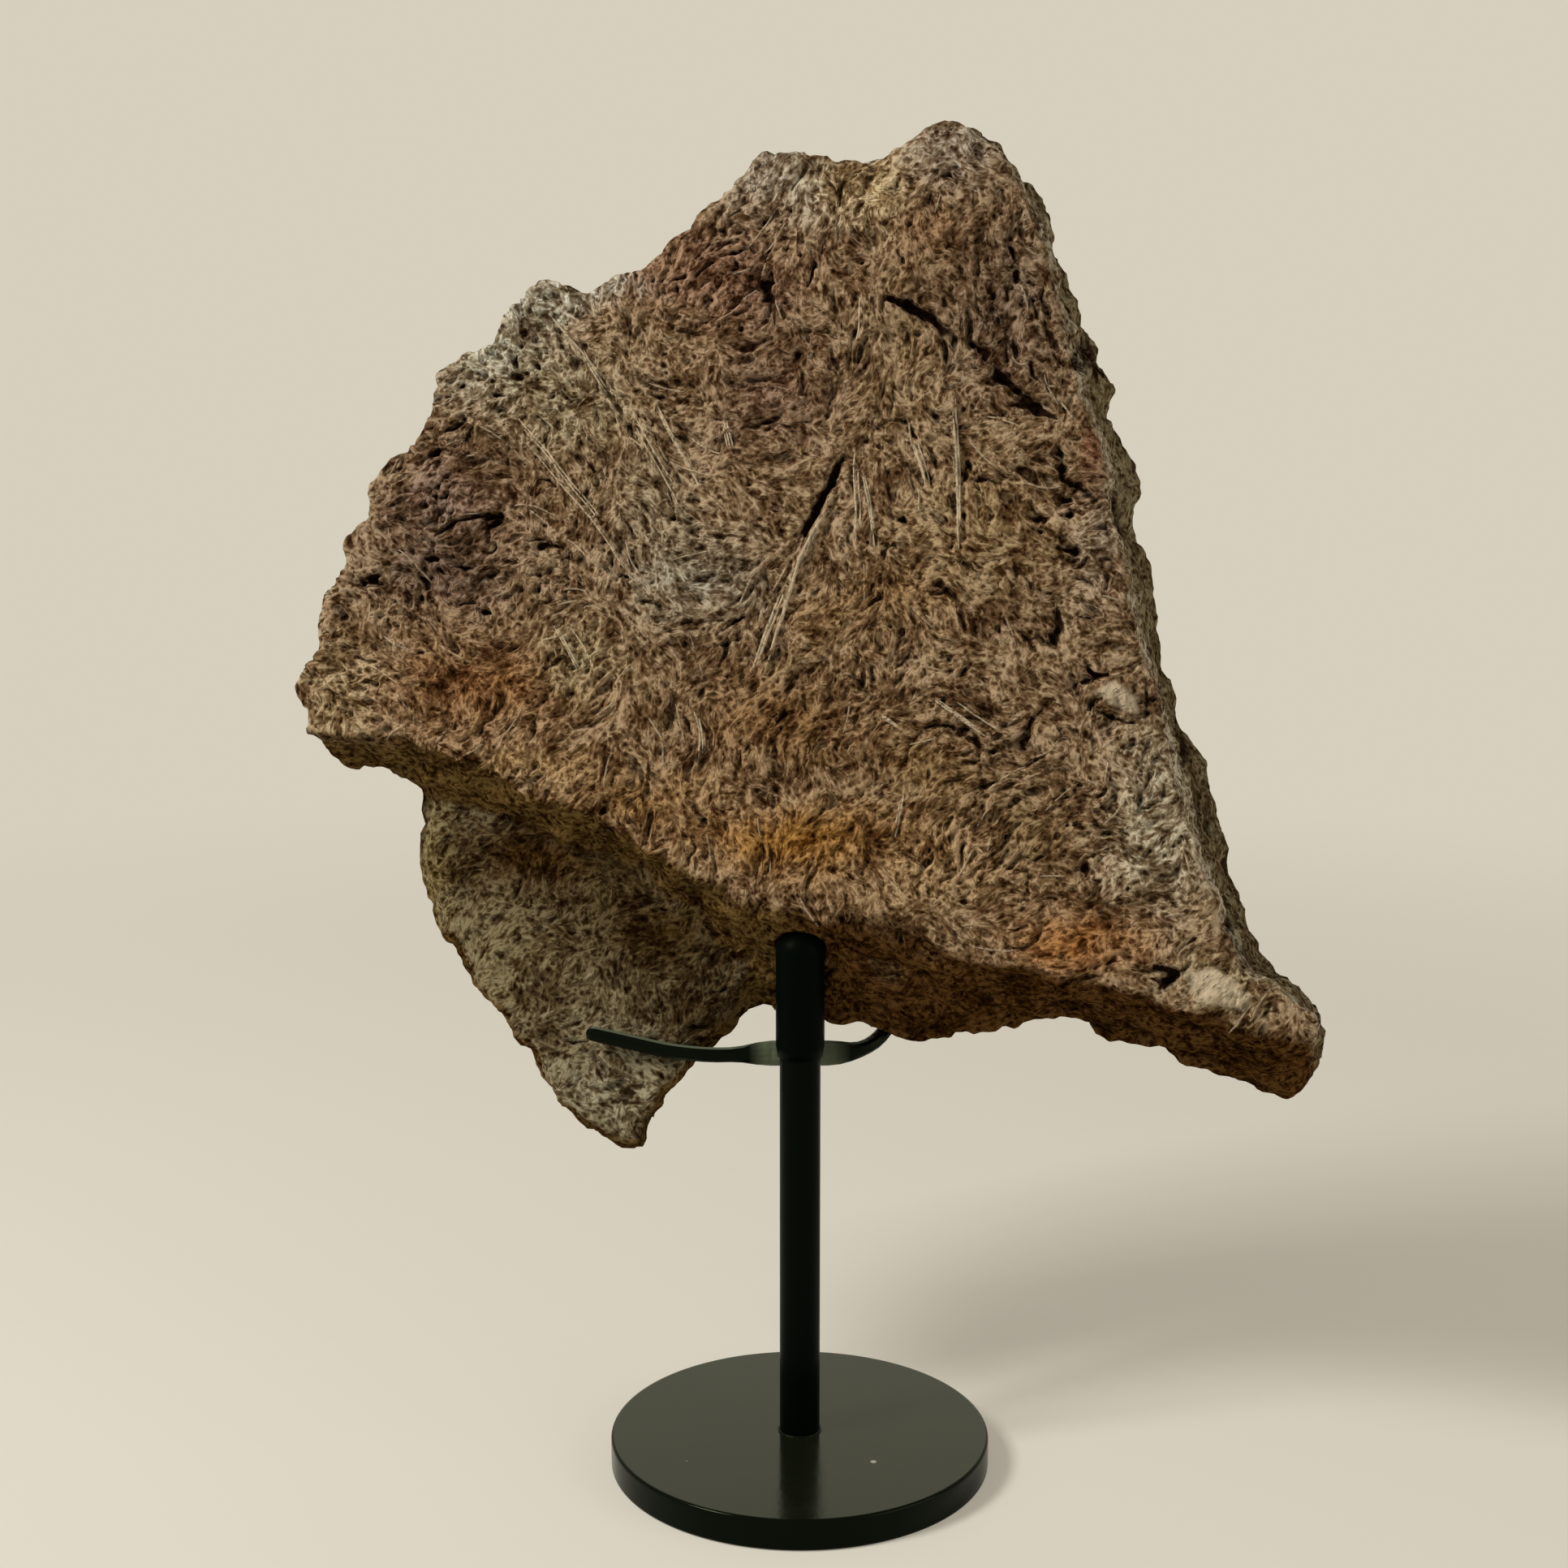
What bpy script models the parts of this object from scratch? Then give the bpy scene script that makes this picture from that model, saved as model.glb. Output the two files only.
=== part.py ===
"""A broken piece of a Triceratops neck frill, standing on a black steel stand.

The fossil is a slab whose front face ends at a sharp ridge across its lower third. Below the ridge the
slab is broken away on a slope, and at the left its back layer carries on down as a set-back lobe. The
stand is a disc, a post, a round-topped sleeve over the post, and a bent rod that stops the slab tipping.

World axes: +X to the right, +Y away from the viewer, +Z up, origin at the centre of the disc's underside.
"""

import math

import bmesh
import bpy
from mathutils import Euler, Matrix, Vector, noise

MM = 0.001
GAP = 0.3 * MM

# Stand, driving dimensions
DISC_DIAMETER = 120 * MM
DISC_THICKNESS = 10 * MM
DISC_EDGE_ROUNDING = 0.8 * MM
POST_DIAMETER = 12.7 * MM
SLEEVE_DIAMETER = 15.1 * MM
SLEEVE_BOTTOM = 133.8 * MM
SLEEVE_TOP = 174 * MM
SLEEVE_TAPER = 3.4 * MM
SLEEVE_ROUNDING = 6.8 * MM
SLEEVE_LIP_DIAMETER = 13.9 * MM
ROD_DIAMETER = 4.8 * MM
ROD_FLAT_HEIGHT = 8.2 * MM
ROD_FLAT_THICKNESS = 2.3 * MM
CHAMFER = 1 * MM

# How finely the round pieces are made
DISC_SIDES = 80
POST_SIDES = 32
ROD_SIDES = 12
EDGE_STEPS = 3
DOME_STEPS = 6
TIP_STEPS = 4

# Slab, driving dimensions. Its own axes are across, inwards from the front face, and up the face.
SLAB_LEAN = math.radians(12)
SLAB_TURN = math.radians(9)
SLAB_ORIGIN = Vector((0, -8 * MM, 182.3 * MM))
SLAB_DEPTH = 32 * MM
LOBE_SET_BACK = 19 * MM
TOP_THINNING = 0.035
BOW_DEPTH = 6 * MM
BOW_HALF_WIDTH = 155 * MM

# Where the front face ends, in millimetres across and up the face: the ridge from left to right, then
# the right side upwards, the crest and the left side downwards.
FRONT_OUTLINE = [
    (-164, 50), (-146, 49), (-128, 50), (-113, 43), (-98, 38), (-84, 30), (-68, 26), (-54, 19), (-34, 9),
    (-20, 4), (-6, 0), (9, 0), (20, -1), (34, -3), (47, -11), (61, -15), (76, -17), (95, -20), (118, -25),
    (139, -32), (155, -33), (155, -27), (145, -20), (134, -16), (129, -10), (123, 1), (119, 14), (114, 27),
    (110, 44), (107, 56), (105, 70), (100, 84), (95, 97), (91, 111), (88, 122), (86, 137), (79, 155),
    (76, 174), (71, 190), (68, 205), (60, 218), (51, 231), (45, 237), (39, 241), (31, 240), (26, 235),
    (19, 230), (9, 229), (-3, 231), (-9, 233), (-20, 233), (-25, 226), (-30, 218), (-40, 211), (-46, 204),
    (-51, 198), (-64, 192), (-76, 189), (-87, 195), (-93, 191), (-99, 187), (-105, 174), (-114, 171),
    (-123, 163), (-125, 149), (-137, 138), (-143, 123), (-142, 118), (-149, 110), (-148, 104), (-156, 94),
    (-156, 86), (-156, 79), (-165, 70), (-163, 62), (-159, 57),
]

# Where the slab's back face ends, without the lobe: lower at the right, where the broken slope runs down
# to the back, and a little smaller than the front along the crest and the left side.
BACK_OUTLINE = [
    (-162, 40), (-144, 39), (-133, 32), (-122, 23), (-104, 19), (-83, 16), (-67, 9), (-45, 0), (-29, -17),
    (-19, -34), (-11, -38), (5, -36), (20, -39), (28, -42), (34, -41), (40, -39), (54, -37), (69, -36),
    (81, -34), (89, -38), (95, -40), (108, -39), (117, -45), (129, -49), (141, -53), (151, -55), (156, -45),
    (159, -36), (159, -28), (153, -21), (143, -16), (136, -8), (131, 2), (131, 10), (126, 26), (121, 36),
    (120, 48), (112, 61), (109, 73), (105, 89), (103, 103), (101, 110), (96, 116), (96, 124), (98, 140),
    (89, 152), (91, 163), (87, 170), (79, 184), (74, 199), (68, 213), (62, 223), (55, 231), (53, 240),
    (46, 238), (38, 236), (28, 232), (16, 225), (2, 227), (-12, 230), (-24, 223), (-42, 205), (-54, 194),
    (-70, 187), (-88, 188), (-98, 175), (-113, 164), (-119, 149), (-131, 135), (-138, 118), (-145, 104),
    (-151, 93), (-153, 80), (-160, 69), (-156, 57),
]

# The lobe's front face, from where it leaves the slab at the upper left, down to its tip and up to the
# notch beside the sleeve. The last points close it inside the slab.
LOBE_FRONT = [
    (-123, 30), (-124, 10), (-120, -1), (-116, -13), (-111, -19), (-106, -28), (-97, -37), (-93, -44),
    (-85, -47), (-82, -58), (-77, -63), (-71, -69), (-63, -74), (-58, -78), (-52, -78), (-49, -70),
    (-46, -62), (-42, -54), (-37, -45), (-28, -33), (-22, -25), (-12, -5), (-40, 25), (-70, 35), (-100, 43),
    (-120, 42),
]

# The lobe's back face, further out at both sides, so that its broken edges face forward a little.
LOBE_BACK = [
    (-132, 32), (-132, 20), (-133, 10), (-130, 0), (-126, -13), (-118, -19), (-112, -28), (-101, -38),
    (-97, -45), (-88, -48), (-85, -59), (-80, -63), (-74, -70), (-66, -75), (-59, -80), (-51, -80),
    (-51, -74), (-48, -64), (-42, -57), (-38, -50), (-27, -43), (-17, -34), (-5, -10), (-40, 25), (-70, 35),
    (-100, 43), (-122, 42),
]
OUTLINE_STEP = 3 * MM

# Relief of the broken bone
VOXEL = 1.9 * MM
SWELL_SIZE = 55 * MM
SWELL_HEIGHT = 2.2 * MM
LUMP_SIZE = 15 * MM
LUMP_HEIGHT = 0.9 * MM
CHIP_SIZE = 11 * MM
CHIP_HEIGHT = 3.2 * MM
FACE_CHIP_SHARE = 0.18
KEPT_SHARE = 0.07
POCKET_RUN_OUT = 10 * MM

# Where the rod runs, in millimetres: left tip, across the lobe, behind the sleeve, up behind the slab.
ROD_ROUTE = [
    (-64.5, 7.4, 138.6), (-58, 6.5, 137.4), (-50.5, 5.2, 136), (-42, 3.9, 134.4), (-34, 3.8, 133.3),
    (-26, 4.5, 132.6), (-18, 6.3, 132.3), (-9, 8, 132.1), (0, 8.35, 132), (9, 8.8, 131.9),
    (16, 10.2, 131.9), (21.5, 12.5, 133.2), (25.5, 15, 135.6), (28.6, 17.4, 139.5), (31, 19.4, 145),
    (32.6, 21, 152), (33.8, 22.7, 160), (34.4, 24.6, 168),
]
FLAT_HALF_LENGTH = 9 * MM
FLAT_ENDS_AT = 22 * MM


def clear_scene():
    """Remove what the startup file brings."""
    for thing in list(bpy.data.objects):
        bpy.data.objects.remove(thing, do_unlink=True)


def finish(name, colour, roughness, metallic):
    """A plain material for one sub-part, colour as linear red, green and blue."""
    material = bpy.data.materials.new(name)
    material.use_nodes = True
    shader = material.node_tree.nodes["Principled BSDF"]
    shader.inputs["Base Color"].default_value = (*colour, 1)
    shader.inputs["Roughness"].default_value = roughness
    shader.inputs["Metallic"].default_value = metallic
    material.diffuse_color = (*colour, 1)
    return material


def solid(name, bm, material=None, smooth=False):
    """Turn an edited mesh into an object in the scene, with its faces pointing out."""
    bmesh.ops.recalc_face_normals(bm, faces=bm.faces)
    mesh = bpy.data.meshes.new(name)
    bm.to_mesh(mesh)
    bm.free()
    thing = bpy.data.objects.new(name, mesh)
    bpy.context.scene.collection.objects.link(thing)
    if material:
        mesh.materials.append(material)
    if smooth:
        mesh.shade_smooth()
        mesh.set_sharp_from_angle(angle=math.radians(35))
    return thing


def turned(profile, steps):
    """A closed body turned about Z from a profile of (radius, height) points that starts and ends on the axis."""
    bm = bmesh.new()
    corners = [bm.verts.new((radius, 0, height)) for radius, height in profile]
    edges = [bm.edges.new(pair) for pair in zip(corners, corners[1:])]
    bmesh.ops.spin(
        bm, geom=corners + edges, cent=(0, 0, 0), axis=(0, 0, 1), angle=math.tau, steps=steps, use_merge=True
    )
    bmesh.ops.remove_doubles(bm, verts=bm.verts, dist=0.01 * MM)
    return bm


def rounded_corner(radius, height, rounding, steps):
    """Profile points of an outer top corner, from the top face out to the side."""
    angles = [math.pi / 2 * (1 - step / steps) for step in range(steps + 1)]
    return [
        (radius - rounding + rounding * math.cos(angle), height - rounding + rounding * math.sin(angle))
        for angle in angles
    ]


def base_disc(material):
    """The round plate, its edges eased by the paint and a light filing."""
    radius = DISC_DIAMETER / 2
    top = rounded_corner(radius, DISC_THICKNESS, DISC_EDGE_ROUNDING, EDGE_STEPS)
    ease = DISC_EDGE_ROUNDING / 2
    profile = [(0, DISC_THICKNESS), *top, (radius, ease), (radius - ease, 0), (0, 0)]
    return solid("base_disc", turned(profile, DISC_SIDES), material, smooth=True)


def post(material):
    """The bar, from the disc up to the inside of the sleeve's closed top."""
    radius = POST_DIAMETER / 2
    bottom = DISC_THICKNESS + GAP
    top = SLEEVE_TOP - SLEEVE_ROUNDING - GAP
    profile = [(0, top), (radius - CHAMFER, top), (radius, top - CHAMFER), (radius, bottom), (0, bottom)]
    return solid("post", turned(profile, POST_SIDES), material, smooth=True)


def sleeve(material):
    """The tube over the post: a rounded closed top, and a lower end tapered in to the post."""
    radius = SLEEVE_DIAMETER / 2
    bore = POST_DIAMETER / 2 + GAP
    ceiling = SLEEVE_TOP - SLEEVE_ROUNDING
    profile = [
        (0, SLEEVE_TOP),
        *rounded_corner(radius, SLEEVE_TOP, SLEEVE_ROUNDING, DOME_STEPS),
        (radius, SLEEVE_BOTTOM + SLEEVE_TAPER),
        (SLEEVE_LIP_DIAMETER / 2, SLEEVE_BOTTOM),
        (bore, SLEEVE_BOTTOM),
        (bore, ceiling - CHAMFER),
        (bore - CHAMFER, ceiling),
        (0, ceiling),
    ]
    return solid("sleeve", turned(profile, POST_SIDES), material, smooth=True)


def smooth_route(points, parts):
    """A curve through the points, with a given number of parts between each pair (Catmull-Rom)."""
    ends = [2 * points[0] - points[1], *points, 2 * points[-1] - points[-2]]
    route = []
    for before, start, end, after in zip(ends, ends[1:], ends[2:], ends[3:]):
        for part in range(parts):
            share = part / parts
            route.append(
                0.5
                * (
                    2 * start
                    + (end - before) * share
                    + (2 * before - 5 * start + 4 * end - after) * share**2
                    + (3 * start - before - 3 * end + after) * share**3
                )
            )
    return [*route, points[-1]]


def flatness(across):
    """How far the rod is hammered flat: 1 behind the sleeve, 0 where the flat has faded out."""
    faded = (abs(across) - FLAT_HALF_LENGTH) / (FLAT_ENDS_AT - FLAT_HALF_LENGTH)
    return 0.5 + 0.5 * math.cos(math.pi * min(1, max(0, faded)))


def cradle_rod(material):
    """The bent rod: a swept section, round at both arms and flat behind the sleeve, with rounded tips."""
    route = smooth_route([Vector(point) * MM for point in ROD_ROUTE], 2)
    radius = ROD_DIAMETER / 2
    bm = bmesh.new()
    rings = []

    def ring(centre, along, share):
        """One section of the rod, scaled by share where the tip closes."""
        flat = flatness(centre.x)
        half_height = radius + (ROD_FLAT_HEIGHT / 2 - radius) * flat
        half_depth = radius + (ROD_FLAT_THICKNESS / 2 - radius) * flat
        inward = along.cross(Vector((0, 0, 1)))
        if inward.length < 0.4:
            inward = along.cross(Vector((1, 0, 0)))
        inward.normalize()
        upward = inward.cross(along).normalized()
        corners = []
        for side in range(ROD_SIDES):
            angle = math.tau * side / ROD_SIDES
            offset = inward * half_depth * math.cos(angle) + upward * half_height * math.sin(angle)
            corners.append(bm.verts.new(centre + offset * share))
        rings.append(corners)

    first = (route[1] - route[0]).normalized()
    last = (route[-1] - route[-2]).normalized()
    for step in range(1, TIP_STEPS):
        angle = math.pi / 2 * step / TIP_STEPS
        ring(route[0] - first * radius * math.cos(angle), first, math.sin(angle))
    for index, centre in enumerate(route):
        after = route[min(index + 1, len(route) - 1)]
        before = route[max(index - 1, 0)]
        ring(centre, (after - before).normalized(), 1)
    for step in range(1, TIP_STEPS):
        angle = math.pi / 2 * step / TIP_STEPS
        ring(route[-1] + last * radius * math.sin(angle), last, math.cos(angle))

    for lower, upper in zip(rings, rings[1:]):
        for side in range(ROD_SIDES):
            after = (side + 1) % ROD_SIDES
            bm.faces.new((lower[side], lower[after], upper[after], upper[side]))
    for corners, tip in (
        (rings[0], route[0] - first * radius),
        (rings[-1], route[-1] + last * radius),
    ):
        point = bm.verts.new(tip)
        for side in range(ROD_SIDES):
            bm.faces.new((corners[side], corners[(side + 1) % ROD_SIDES], point))
    return solid("cradle_rod", bm, material, smooth=True)


def slab_frame():
    """The slab's own axes in the world: leaned back, then turned so that its right side comes forward."""
    turn = Euler((-SLAB_LEAN, 0, -SLAB_TURN), "XYZ").to_matrix().to_4x4()
    return Matrix.Translation(SLAB_ORIGIN) @ turn


def depth_at(across, up, depth):
    """Depth inside the slab: bowed back at both sides, and thinner towards the crest."""
    thinning = 1 - TOP_THINNING * max(0, up) / SLAB_DEPTH
    return depth * thinning + BOW_DEPTH * (across / BOW_HALF_WIDTH) ** 2


def sides_of(outline):
    """The sides of a closed outline, each as its start and its end."""
    corners = [Vector(corner) * MM for corner in outline]
    return list(zip(corners, corners[1:] + corners[:1]))


def girth_of(sides):
    """The length once round an outline."""
    return sum((end - start).length for start, end in sides)


def stepped(outline, count):
    """The same number of points along every outline, at even steps, so that two of them join squarely."""
    sides = sides_of(outline)
    girth = girth_of(sides)
    points = []
    walked = 0
    for start, end in sides:
        length = (end - start).length
        while len(points) < count and len(points) * girth / count < walked + length:
            share = (len(points) * girth / count - walked) / length
            points.append(start.lerp(end, share))
        walked += length
    return points


def loop_of(bm, points, depth):
    """A closed ring of edges that follows an outline at one depth."""
    corners = [bm.verts.new((across, depth_at(across, up, depth), up)) for across, up in points]
    return [bm.edges.new((start, end)) for start, end in zip(corners, corners[1:] + corners[:1])]


def layer(name, near_outline, near_depth, far_outline, far_depth):
    """Bone between two outlines: they are joined by their broken edge and closed by two faces."""
    count = round(girth_of(sides_of(near_outline)) / OUTLINE_STEP)
    bm = bmesh.new()
    near = loop_of(bm, stepped(near_outline, count), near_depth)
    far = loop_of(bm, stepped(far_outline, count), far_depth)
    bmesh.ops.bridge_loops(bm, edges=near + far)
    bmesh.ops.triangle_fill(bm, edges=near, use_beauty=True)
    bmesh.ops.triangle_fill(bm, edges=far, use_beauty=True)
    thing = solid(name, bm)
    thing.matrix_world = slab_frame()
    return thing


def baked(thing):
    """The object's mesh with its modifiers worked in."""
    graph = bpy.context.evaluated_depsgraph_get()
    mesh = bpy.data.meshes.new_from_object(thing.evaluated_get(graph))
    thing.modifiers.clear()
    thing.data = mesh
    return mesh


def hide_cutter(thing):
    """A helper that shapes another object and isn't a piece itself."""
    thing.hide_render = True
    thing.display_type = "WIRE"


def relief(point, normal):
    """How far broken bone stands out at a point: broad swells, lumps, and chips, deepest at the broken edges."""
    swell = noise.noise(point / SWELL_SIZE + Vector((3.1, 7.7, 1.3)))
    lump = noise.noise(point / LUMP_SIZE + Vector((9.2, 0.4, 5.8)))
    nearest = noise.voronoi(point / CHIP_SIZE + Vector((2.6, 4.9, 8.1)))[0][0]
    broken = max(FACE_CHIP_SHARE, 1 - normal.y**2)
    return SWELL_HEIGHT * swell + LUMP_HEIGHT * lump + CHIP_HEIGHT * broken * (0.5 - nearest)


def pocket_cutter():
    """The hollow in the broken slope that the sleeve's rounded end sits in."""
    radius = SLEEVE_DIAMETER / 2 + 2 * GAP
    top = SLEEVE_TOP + GAP
    bottom = SLEEVE_BOTTOM - POCKET_RUN_OUT
    profile = [(0, top), *rounded_corner(radius, top, SLEEVE_ROUNDING, DOME_STEPS), (radius, bottom), (0, bottom)]
    cutter = solid("sleeve_hollow", turned(profile, POST_SIDES))
    hide_cutter(cutter)
    return cutter


def add_boolean(thing, name, operation, other):
    """Cut or join another object into this one."""
    modifier = thing.modifiers.new(name, "BOOLEAN")
    modifier.operation = operation
    modifier.solver = "EXACT"
    modifier.object = other


def frill_fragment(material):
    """The fossil: both layers joined, roughened as broken bone, with the hollow for the sleeve."""
    fossil = layer("frill_fragment", FRONT_OUTLINE, 0, BACK_OUTLINE, SLAB_DEPTH)
    lobe = layer("lobe", LOBE_FRONT, LOBE_SET_BACK, LOBE_BACK, SLAB_DEPTH - GAP)
    hide_cutter(lobe)
    bpy.context.view_layer.update()
    add_boolean(fossil, "join the lobe", "UNION", lobe)
    grain = fossil.modifiers.new("even mesh", "REMESH")
    grain.mode = "VOXEL"
    grain.voxel_size = VOXEL
    mesh = baked(fossil)
    normals = [vertex.normal.copy() for vertex in mesh.vertices]
    for vertex, normal in zip(mesh.vertices, normals):
        vertex.co += normal * relief(vertex.co, normal)
    thin = fossil.modifiers.new("fewer faces", "DECIMATE")
    thin.ratio = KEPT_SHARE
    thin.use_collapse_triangulate = True
    add_boolean(fossil, "hollow for the sleeve", "DIFFERENCE", pocket_cutter())
    mesh.materials.clear()
    mesh.materials.append(material)
    return fossil


def main():
    clear_scene()
    bone = finish("weathered_bone", (0.19, 0.125, 0.082), 0.85, 0.0)
    disc_paint = finish("disc_paint", (0.012, 0.017, 0.015), 0.42, 0.0)
    post_paint = finish("post_paint", (0.008, 0.012, 0.011), 0.38, 0.0)
    sleeve_paint = finish("sleeve_paint", (0.007, 0.010, 0.009), 0.45, 0.0)
    rod_paint = finish("rod_paint", (0.010, 0.015, 0.013), 0.36, 0.0)
    base_disc(disc_paint)
    post(post_paint)
    sleeve(sleeve_paint)
    cradle_rod(rod_paint)
    frill_fragment(bone)


main()
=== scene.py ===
# %% [markdown]
# A piece of fossil neck frill on its stand. The real object is a slab of woven dinosaur bone about 320 mm
# across, broken on every side, that leans on a black painted steel stand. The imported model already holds
# the true sizes, so this lesson adds what a solid leaves out: the felted surface of the bone, its stains,
# and the paint on the steel. Everything is in metres, with +Z up and the middle of the disc's underside at
# the origin.

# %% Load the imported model
import math

import bmesh
import bpy
import numpy as np
from mathutils import Euler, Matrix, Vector


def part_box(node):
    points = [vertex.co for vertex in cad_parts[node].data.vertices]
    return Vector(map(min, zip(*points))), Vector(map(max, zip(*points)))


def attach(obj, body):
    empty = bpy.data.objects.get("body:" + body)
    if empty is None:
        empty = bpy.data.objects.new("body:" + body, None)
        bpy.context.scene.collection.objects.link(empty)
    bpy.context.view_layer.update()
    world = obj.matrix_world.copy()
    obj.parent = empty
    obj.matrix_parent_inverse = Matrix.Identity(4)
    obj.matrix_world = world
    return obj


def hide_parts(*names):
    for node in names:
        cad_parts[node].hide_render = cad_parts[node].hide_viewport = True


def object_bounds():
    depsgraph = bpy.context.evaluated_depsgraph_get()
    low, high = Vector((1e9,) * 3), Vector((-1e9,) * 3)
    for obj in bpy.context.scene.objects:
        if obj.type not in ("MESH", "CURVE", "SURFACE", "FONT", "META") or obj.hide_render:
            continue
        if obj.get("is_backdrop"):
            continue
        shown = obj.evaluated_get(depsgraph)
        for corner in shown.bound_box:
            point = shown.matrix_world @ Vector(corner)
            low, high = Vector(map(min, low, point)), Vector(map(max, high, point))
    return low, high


MM = 0.001
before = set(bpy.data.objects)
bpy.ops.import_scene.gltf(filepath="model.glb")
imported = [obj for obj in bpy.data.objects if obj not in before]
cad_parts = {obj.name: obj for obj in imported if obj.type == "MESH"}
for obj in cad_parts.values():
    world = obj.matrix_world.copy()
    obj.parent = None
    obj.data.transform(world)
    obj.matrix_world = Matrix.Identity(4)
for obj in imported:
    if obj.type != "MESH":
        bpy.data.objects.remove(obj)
cad_low, cad_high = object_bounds()
print("nodes:", sorted(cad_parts))

# %% [markdown]
# The camera stood about 0.7 m in front of the fossil and looked down by ten degrees. A lens of 54 mm on a
# 36 mm sensor gives the same perspective. Two things in the picture fix it: how flat the disc's ellipse is,
# and how much the post narrows from its top, which is nearer to the camera, to its foot.

# %% Camera
PHOTO_SIDE = 1932
FOCAL_LENGTH_IN_PIXELS = 2903
SENSOR = 36
CAMERA_PLACE = Vector((-5, -702.6, 348.1)) * MM
LOOKING_DOWN = 10.39

camera = bpy.data.objects.new("camera", bpy.data.cameras.new("camera"))
camera.data.sensor_width = SENSOR
camera.data.lens = SENSOR * FOCAL_LENGTH_IN_PIXELS / PHOTO_SIDE
camera.location = CAMERA_PLACE
camera.rotation_euler = (math.radians(90 - LOOKING_DOWN), 0, 0)
bpy.context.scene.collection.objects.link(camera)
bpy.context.scene.camera = camera
print(f"lens {camera.data.lens:.1f} mm")

# %% [markdown]
# Colours are written as sRGB hex values, as a paint program shows them, and one function turns them to the
# linear values that a shader wants. Another small function adds any node: it sets the node's own settings,
# fills its inputs and gives back one output. Blender hides the inputs and outputs that a setting has no use
# for, so only those in use are counted.


# %% Colour and node helpers
def linear(hex_colour):
    """An sRGB colour such as "#8a7458" as linear red, green, blue and alpha."""
    parts = [int(hex_colour[start : start + 2], 16) / 255 for start in (1, 3, 5)]
    return (*[part / 12.92 if part <= 0.04045 else ((part + 0.055) / 1.055) ** 2.4 for part in parts], 1)


def fill(tree, socket, value):
    """Link an input to a node's output, or set it to a number, a vector or a colour."""
    if isinstance(value, bpy.types.NodeSocket):
        tree.links.new(value, socket)
    else:
        socket.default_value = value


def add_node(tree, kind, settings, *inputs, output="", **named_inputs):
    """Add a node with its settings and inputs, and give back an output: by name, or else the first in use."""
    made = tree.nodes.new(kind)
    for name, value in settings.items():
        setattr(made, name, value)
    for socket, value in zip([socket for socket in made.inputs if socket.enabled], inputs):
        fill(tree, socket, value)
    for name, value in named_inputs.items():
        fill(tree, made.inputs[name], value)
    return made.outputs[output] if output else next(socket for socket in made.outputs if socket.enabled)


def new_material(name):
    """A material with its node tree and its Principled shader."""
    material = bpy.data.materials.new(name)
    material.use_nodes = True
    return material, material.node_tree, material.node_tree.nodes["Principled BSDF"]


print("bone brown as linear red, green and blue:", np.round(linear("#77624c")[:3], 3))

# %% [markdown]
# The slab leans back by twelve degrees and its right side is turned towards the camera by nine. Its own
# axes make the rest easy: across the face, inwards from the face, and up the face, all in millimetres.

# %% The slab's own axes
SLAB_LEAN = math.radians(12)
SLAB_TURN = math.radians(9)
SLAB_ORIGIN = np.array((0, -8, 182.3))

slab_axes = np.array(Euler((-SLAB_LEAN, 0, -SLAB_TURN), "XYZ").to_matrix())


def to_slab(points):
    """Points in metres in the row frame, as millimetres across, inwards and up the slab."""
    return (points / MM - SLAB_ORIGIN) @ slab_axes


print("the slab faces along", (-slab_axes[:, 1]).round(2))

# %% [markdown]
# Three helpers do the carrying between Blender and numpy: one reads a property of a whole mesh in one go,
# one works a modifier into the mesh, and one evens out points by moving them towards their neighbours.


# %% Mesh helpers
def read(mesh, what, of, width, kind=np.float32):
    """One property of every vertex, edge or face, as rows of numbers."""
    values = np.zeros(len(getattr(mesh, of)) * width, kind)
    getattr(mesh, of).foreach_get(what, values)
    return values.reshape(-1, width)


def worked_in(thing):
    """Replace an object's mesh with the one that its modifiers make."""
    graph = bpy.context.evaluated_depsgraph_get()
    mesh = bpy.data.meshes.new_from_object(thing.evaluated_get(graph))
    thing.modifiers.clear()
    thing.data = mesh
    return mesh


def smoothed(points, edges, rounds):
    """Move every point halfway to the middle of its neighbours, a few times."""
    count = len(points)
    neighbours = np.bincount(edges.ravel(), minlength=count)[:, None]
    for _ in range(rounds):
        total = np.zeros_like(points)
        for axis in range(3):
            total[:, axis] = np.bincount(edges[:, 0], points[edges[:, 1], axis], count)
            total[:, axis] += np.bincount(edges[:, 1], points[edges[:, 0], axis], count)
        points = (points + total / neighbours) / 2
    return points


solid_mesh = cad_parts["frill_fragment"].data
print("the solid fossil has", len(read(solid_mesh, "co", "vertices", 3)), "points")

# %% [markdown]
# The bone is first made again at an even, fine grain: a voxel remesh of the CAD solid, then a few rounds of
# smoothing to take out the solid's facets. Cutting the solid's own triangles finer would keep its facets
# and its slivers. The detail comes from moving the fine mesh's points, later on.

# %% A fine, even mesh of the fossil
GRAIN = 0.6 * MM
SMOOTHING_ROUNDS = 14

fossil = bpy.data.objects.new("fossil_slab", solid_mesh.copy())
bpy.context.scene.collection.objects.link(fossil)
remesh = fossil.modifiers.new("fine grain", "REMESH")
remesh.mode = "VOXEL"
remesh.voxel_size = GRAIN
bone_mesh = worked_in(fossil)
bone_points = read(bone_mesh, "co", "vertices", 3).astype(float)
bone_points = smoothed(bone_points, read(bone_mesh, "vertices", "edges", 2, np.int32), SMOOTHING_ROUNDS)
bone_mesh.vertices.foreach_set("co", bone_points.astype(np.float32).ravel())
bone_mesh.update()
print(f"fossil: {len(bone_mesh.vertices)} points at {GRAIN / MM} mm")

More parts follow.
